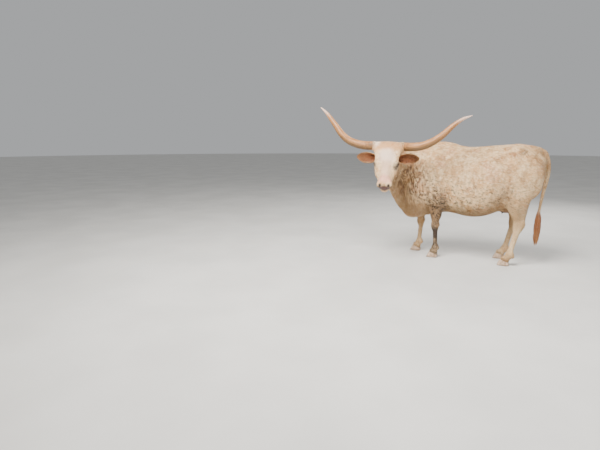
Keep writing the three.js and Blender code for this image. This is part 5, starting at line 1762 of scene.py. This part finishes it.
# %% Hoof material
hoof_look, n, shader = material("hoof_look", 0.5)
spot = place_of(n)
rise = n.add("ShaderNodeSeparateXYZ", [spot], 2)
wavy = n.noise(spot, 30.0, 3.0)
rings = n.math("SINE", n.math("ADD", n.math("MULTIPLY", rise, 900.0), n.math("MULTIPLY", wavy, 8.0)))
streak = n.noise(n.vector("MULTIPLY", spot, (110.0, 110.0, 12.0)), 1.0, 5.0)
colour = n.mix(n.span(wavy, 0.35, 0.7), tone(216, 188, 162), tone(168, 138, 110))
colour = n.mix(n.span(streak, 0.45, 0.75, 0, 0.45), colour, tone(126, 98, 76))
colour = n.mix(n.span(rings, 0.2, 1.0, 0, 0.25), colour, tone(116, 92, 70))
colour = n.mix(n.span(rise, 0.02, 0.0, 0, 0.6), colour, tone(92, 76, 58))
join(n, shader, "Base Color", colour)
height = n.math("ADD", rings, streak)
join(n, shader, "Normal", n.bump(height, 0.4, 0.0012))
join(n, shader, "Roughness", n.span(streak, 0.3, 0.7, 0.42, 0.62))

print("hoof look made")

# %% [markdown]
# ## Eye
# At this size the eye is one ball. The pupil and the iris are painted by how far each place lies from
# the eye's middle line, and the shader's own clear coat gives the wet shine.

# %% Eye material
eye_look, n, shader = material("eye_look", 0.09)
mirrored = folded(n, head_parts(n, n.vector("SUBTRACT", place_of(n), tuple(ORIGIN))))
off = n.vector("SUBTRACT", mirrored, tuple(EYE_AT / 1000))
sideways = n.vector("DOT_PRODUCT", off, tuple(EYE_ALONG), out=1)
upward = n.vector("DOT_PRODUCT", off, tuple(EYE_UP), out=1)
PUPIL_WIDE, PUPIL_TALL = 0.0078, 0.0042
pupil_off = [n.math("DIVIDE", sideways, PUPIL_WIDE), n.math("DIVIDE", upward, PUPIL_TALL), 0.0]
flat = n.add("ShaderNodeCombineXYZ", pupil_off)
from_pupil = n.vector("LENGTH", flat, out=1)
across_eye = n.vector("LENGTH", n.add("ShaderNodeCombineXYZ", [sideways, upward, 0.0]), out=1)
fibres = n.noise(n.vector("MULTIPLY", off, (520.0, 520.0, 520.0)), 1.0, 3.0)
colour = n.mix(n.span(fibres, 0.35, 0.65), tone(54, 32, 20), tone(86, 54, 32))
colour = n.mix(n.span(from_pupil, 1.15, 0.85), colour, tone(10, 10, 16))
colour = n.mix(n.span(across_eye, 0.0118, 0.0135), colour, tone(44, 34, 30))
join(n, shader, "Base Color", colour)
shader.inputs["Coat Weight"].default_value = 1.0
shader.inputs["Coat Roughness"].default_value = 0.03
print("eye look made")

# %% [markdown]
# ## Dressing
# A piece's name starts with what it is, so a table from that first word to a look dresses nearly
# everything. The hair inside the ears and the collars at the horns are the exceptions.

# %% Dress every piece
LOOKS = {"skin": skin_look, "ear": ear_look, "horn": horn_look, "eye": eye_look, "switch": switch_look,
         "foreclaw": hoof_look, "hindclaw": hoof_look, "lashes": lash_look,
         "coat": coat_look, "foreleg": coat_look, "hindleg": coat_look}
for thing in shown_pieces():
    look = LOOKS[thing.name.split("_")[0]]
    if thing.name.endswith("inner_hair"):
        look = ear_hair_look
    if thing.name.endswith("outer_hair") or thing.name.startswith("horn_collar"):
        look = coat_look
    thing.data.materials.clear()
    thing.data.materials.append(look)

# %% [markdown]
# ## The floor
# A pale plain floor, wide enough for its edge to lie far behind her. It is only a stage, so it isn't
# part of the model.

# %% Floor
FLOOR_REACH = 40.0
bm = bmesh.new()
bmesh.ops.create_circle(bm, cap_ends=True, segments=96, radius=FLOOR_REACH)
floor_mesh = bpy.data.meshes.new("floor")
bm.to_mesh(floor_mesh)
bm.free()
floor = in_scene("floor", floor_mesh)
floor_look, n, shader = material("floor_look", 0.85)
cloud = n.noise(place_of(n), 1.3, 4.0)
join(n, shader, "Base Color", n.mix(n.span(cloud, 0.3, 0.7), tone(208, 206, 201), tone(218, 216, 211)))
floor_mesh.materials.append(floor_look)
print("floor", 2 * FLOOR_REACH, "m across")
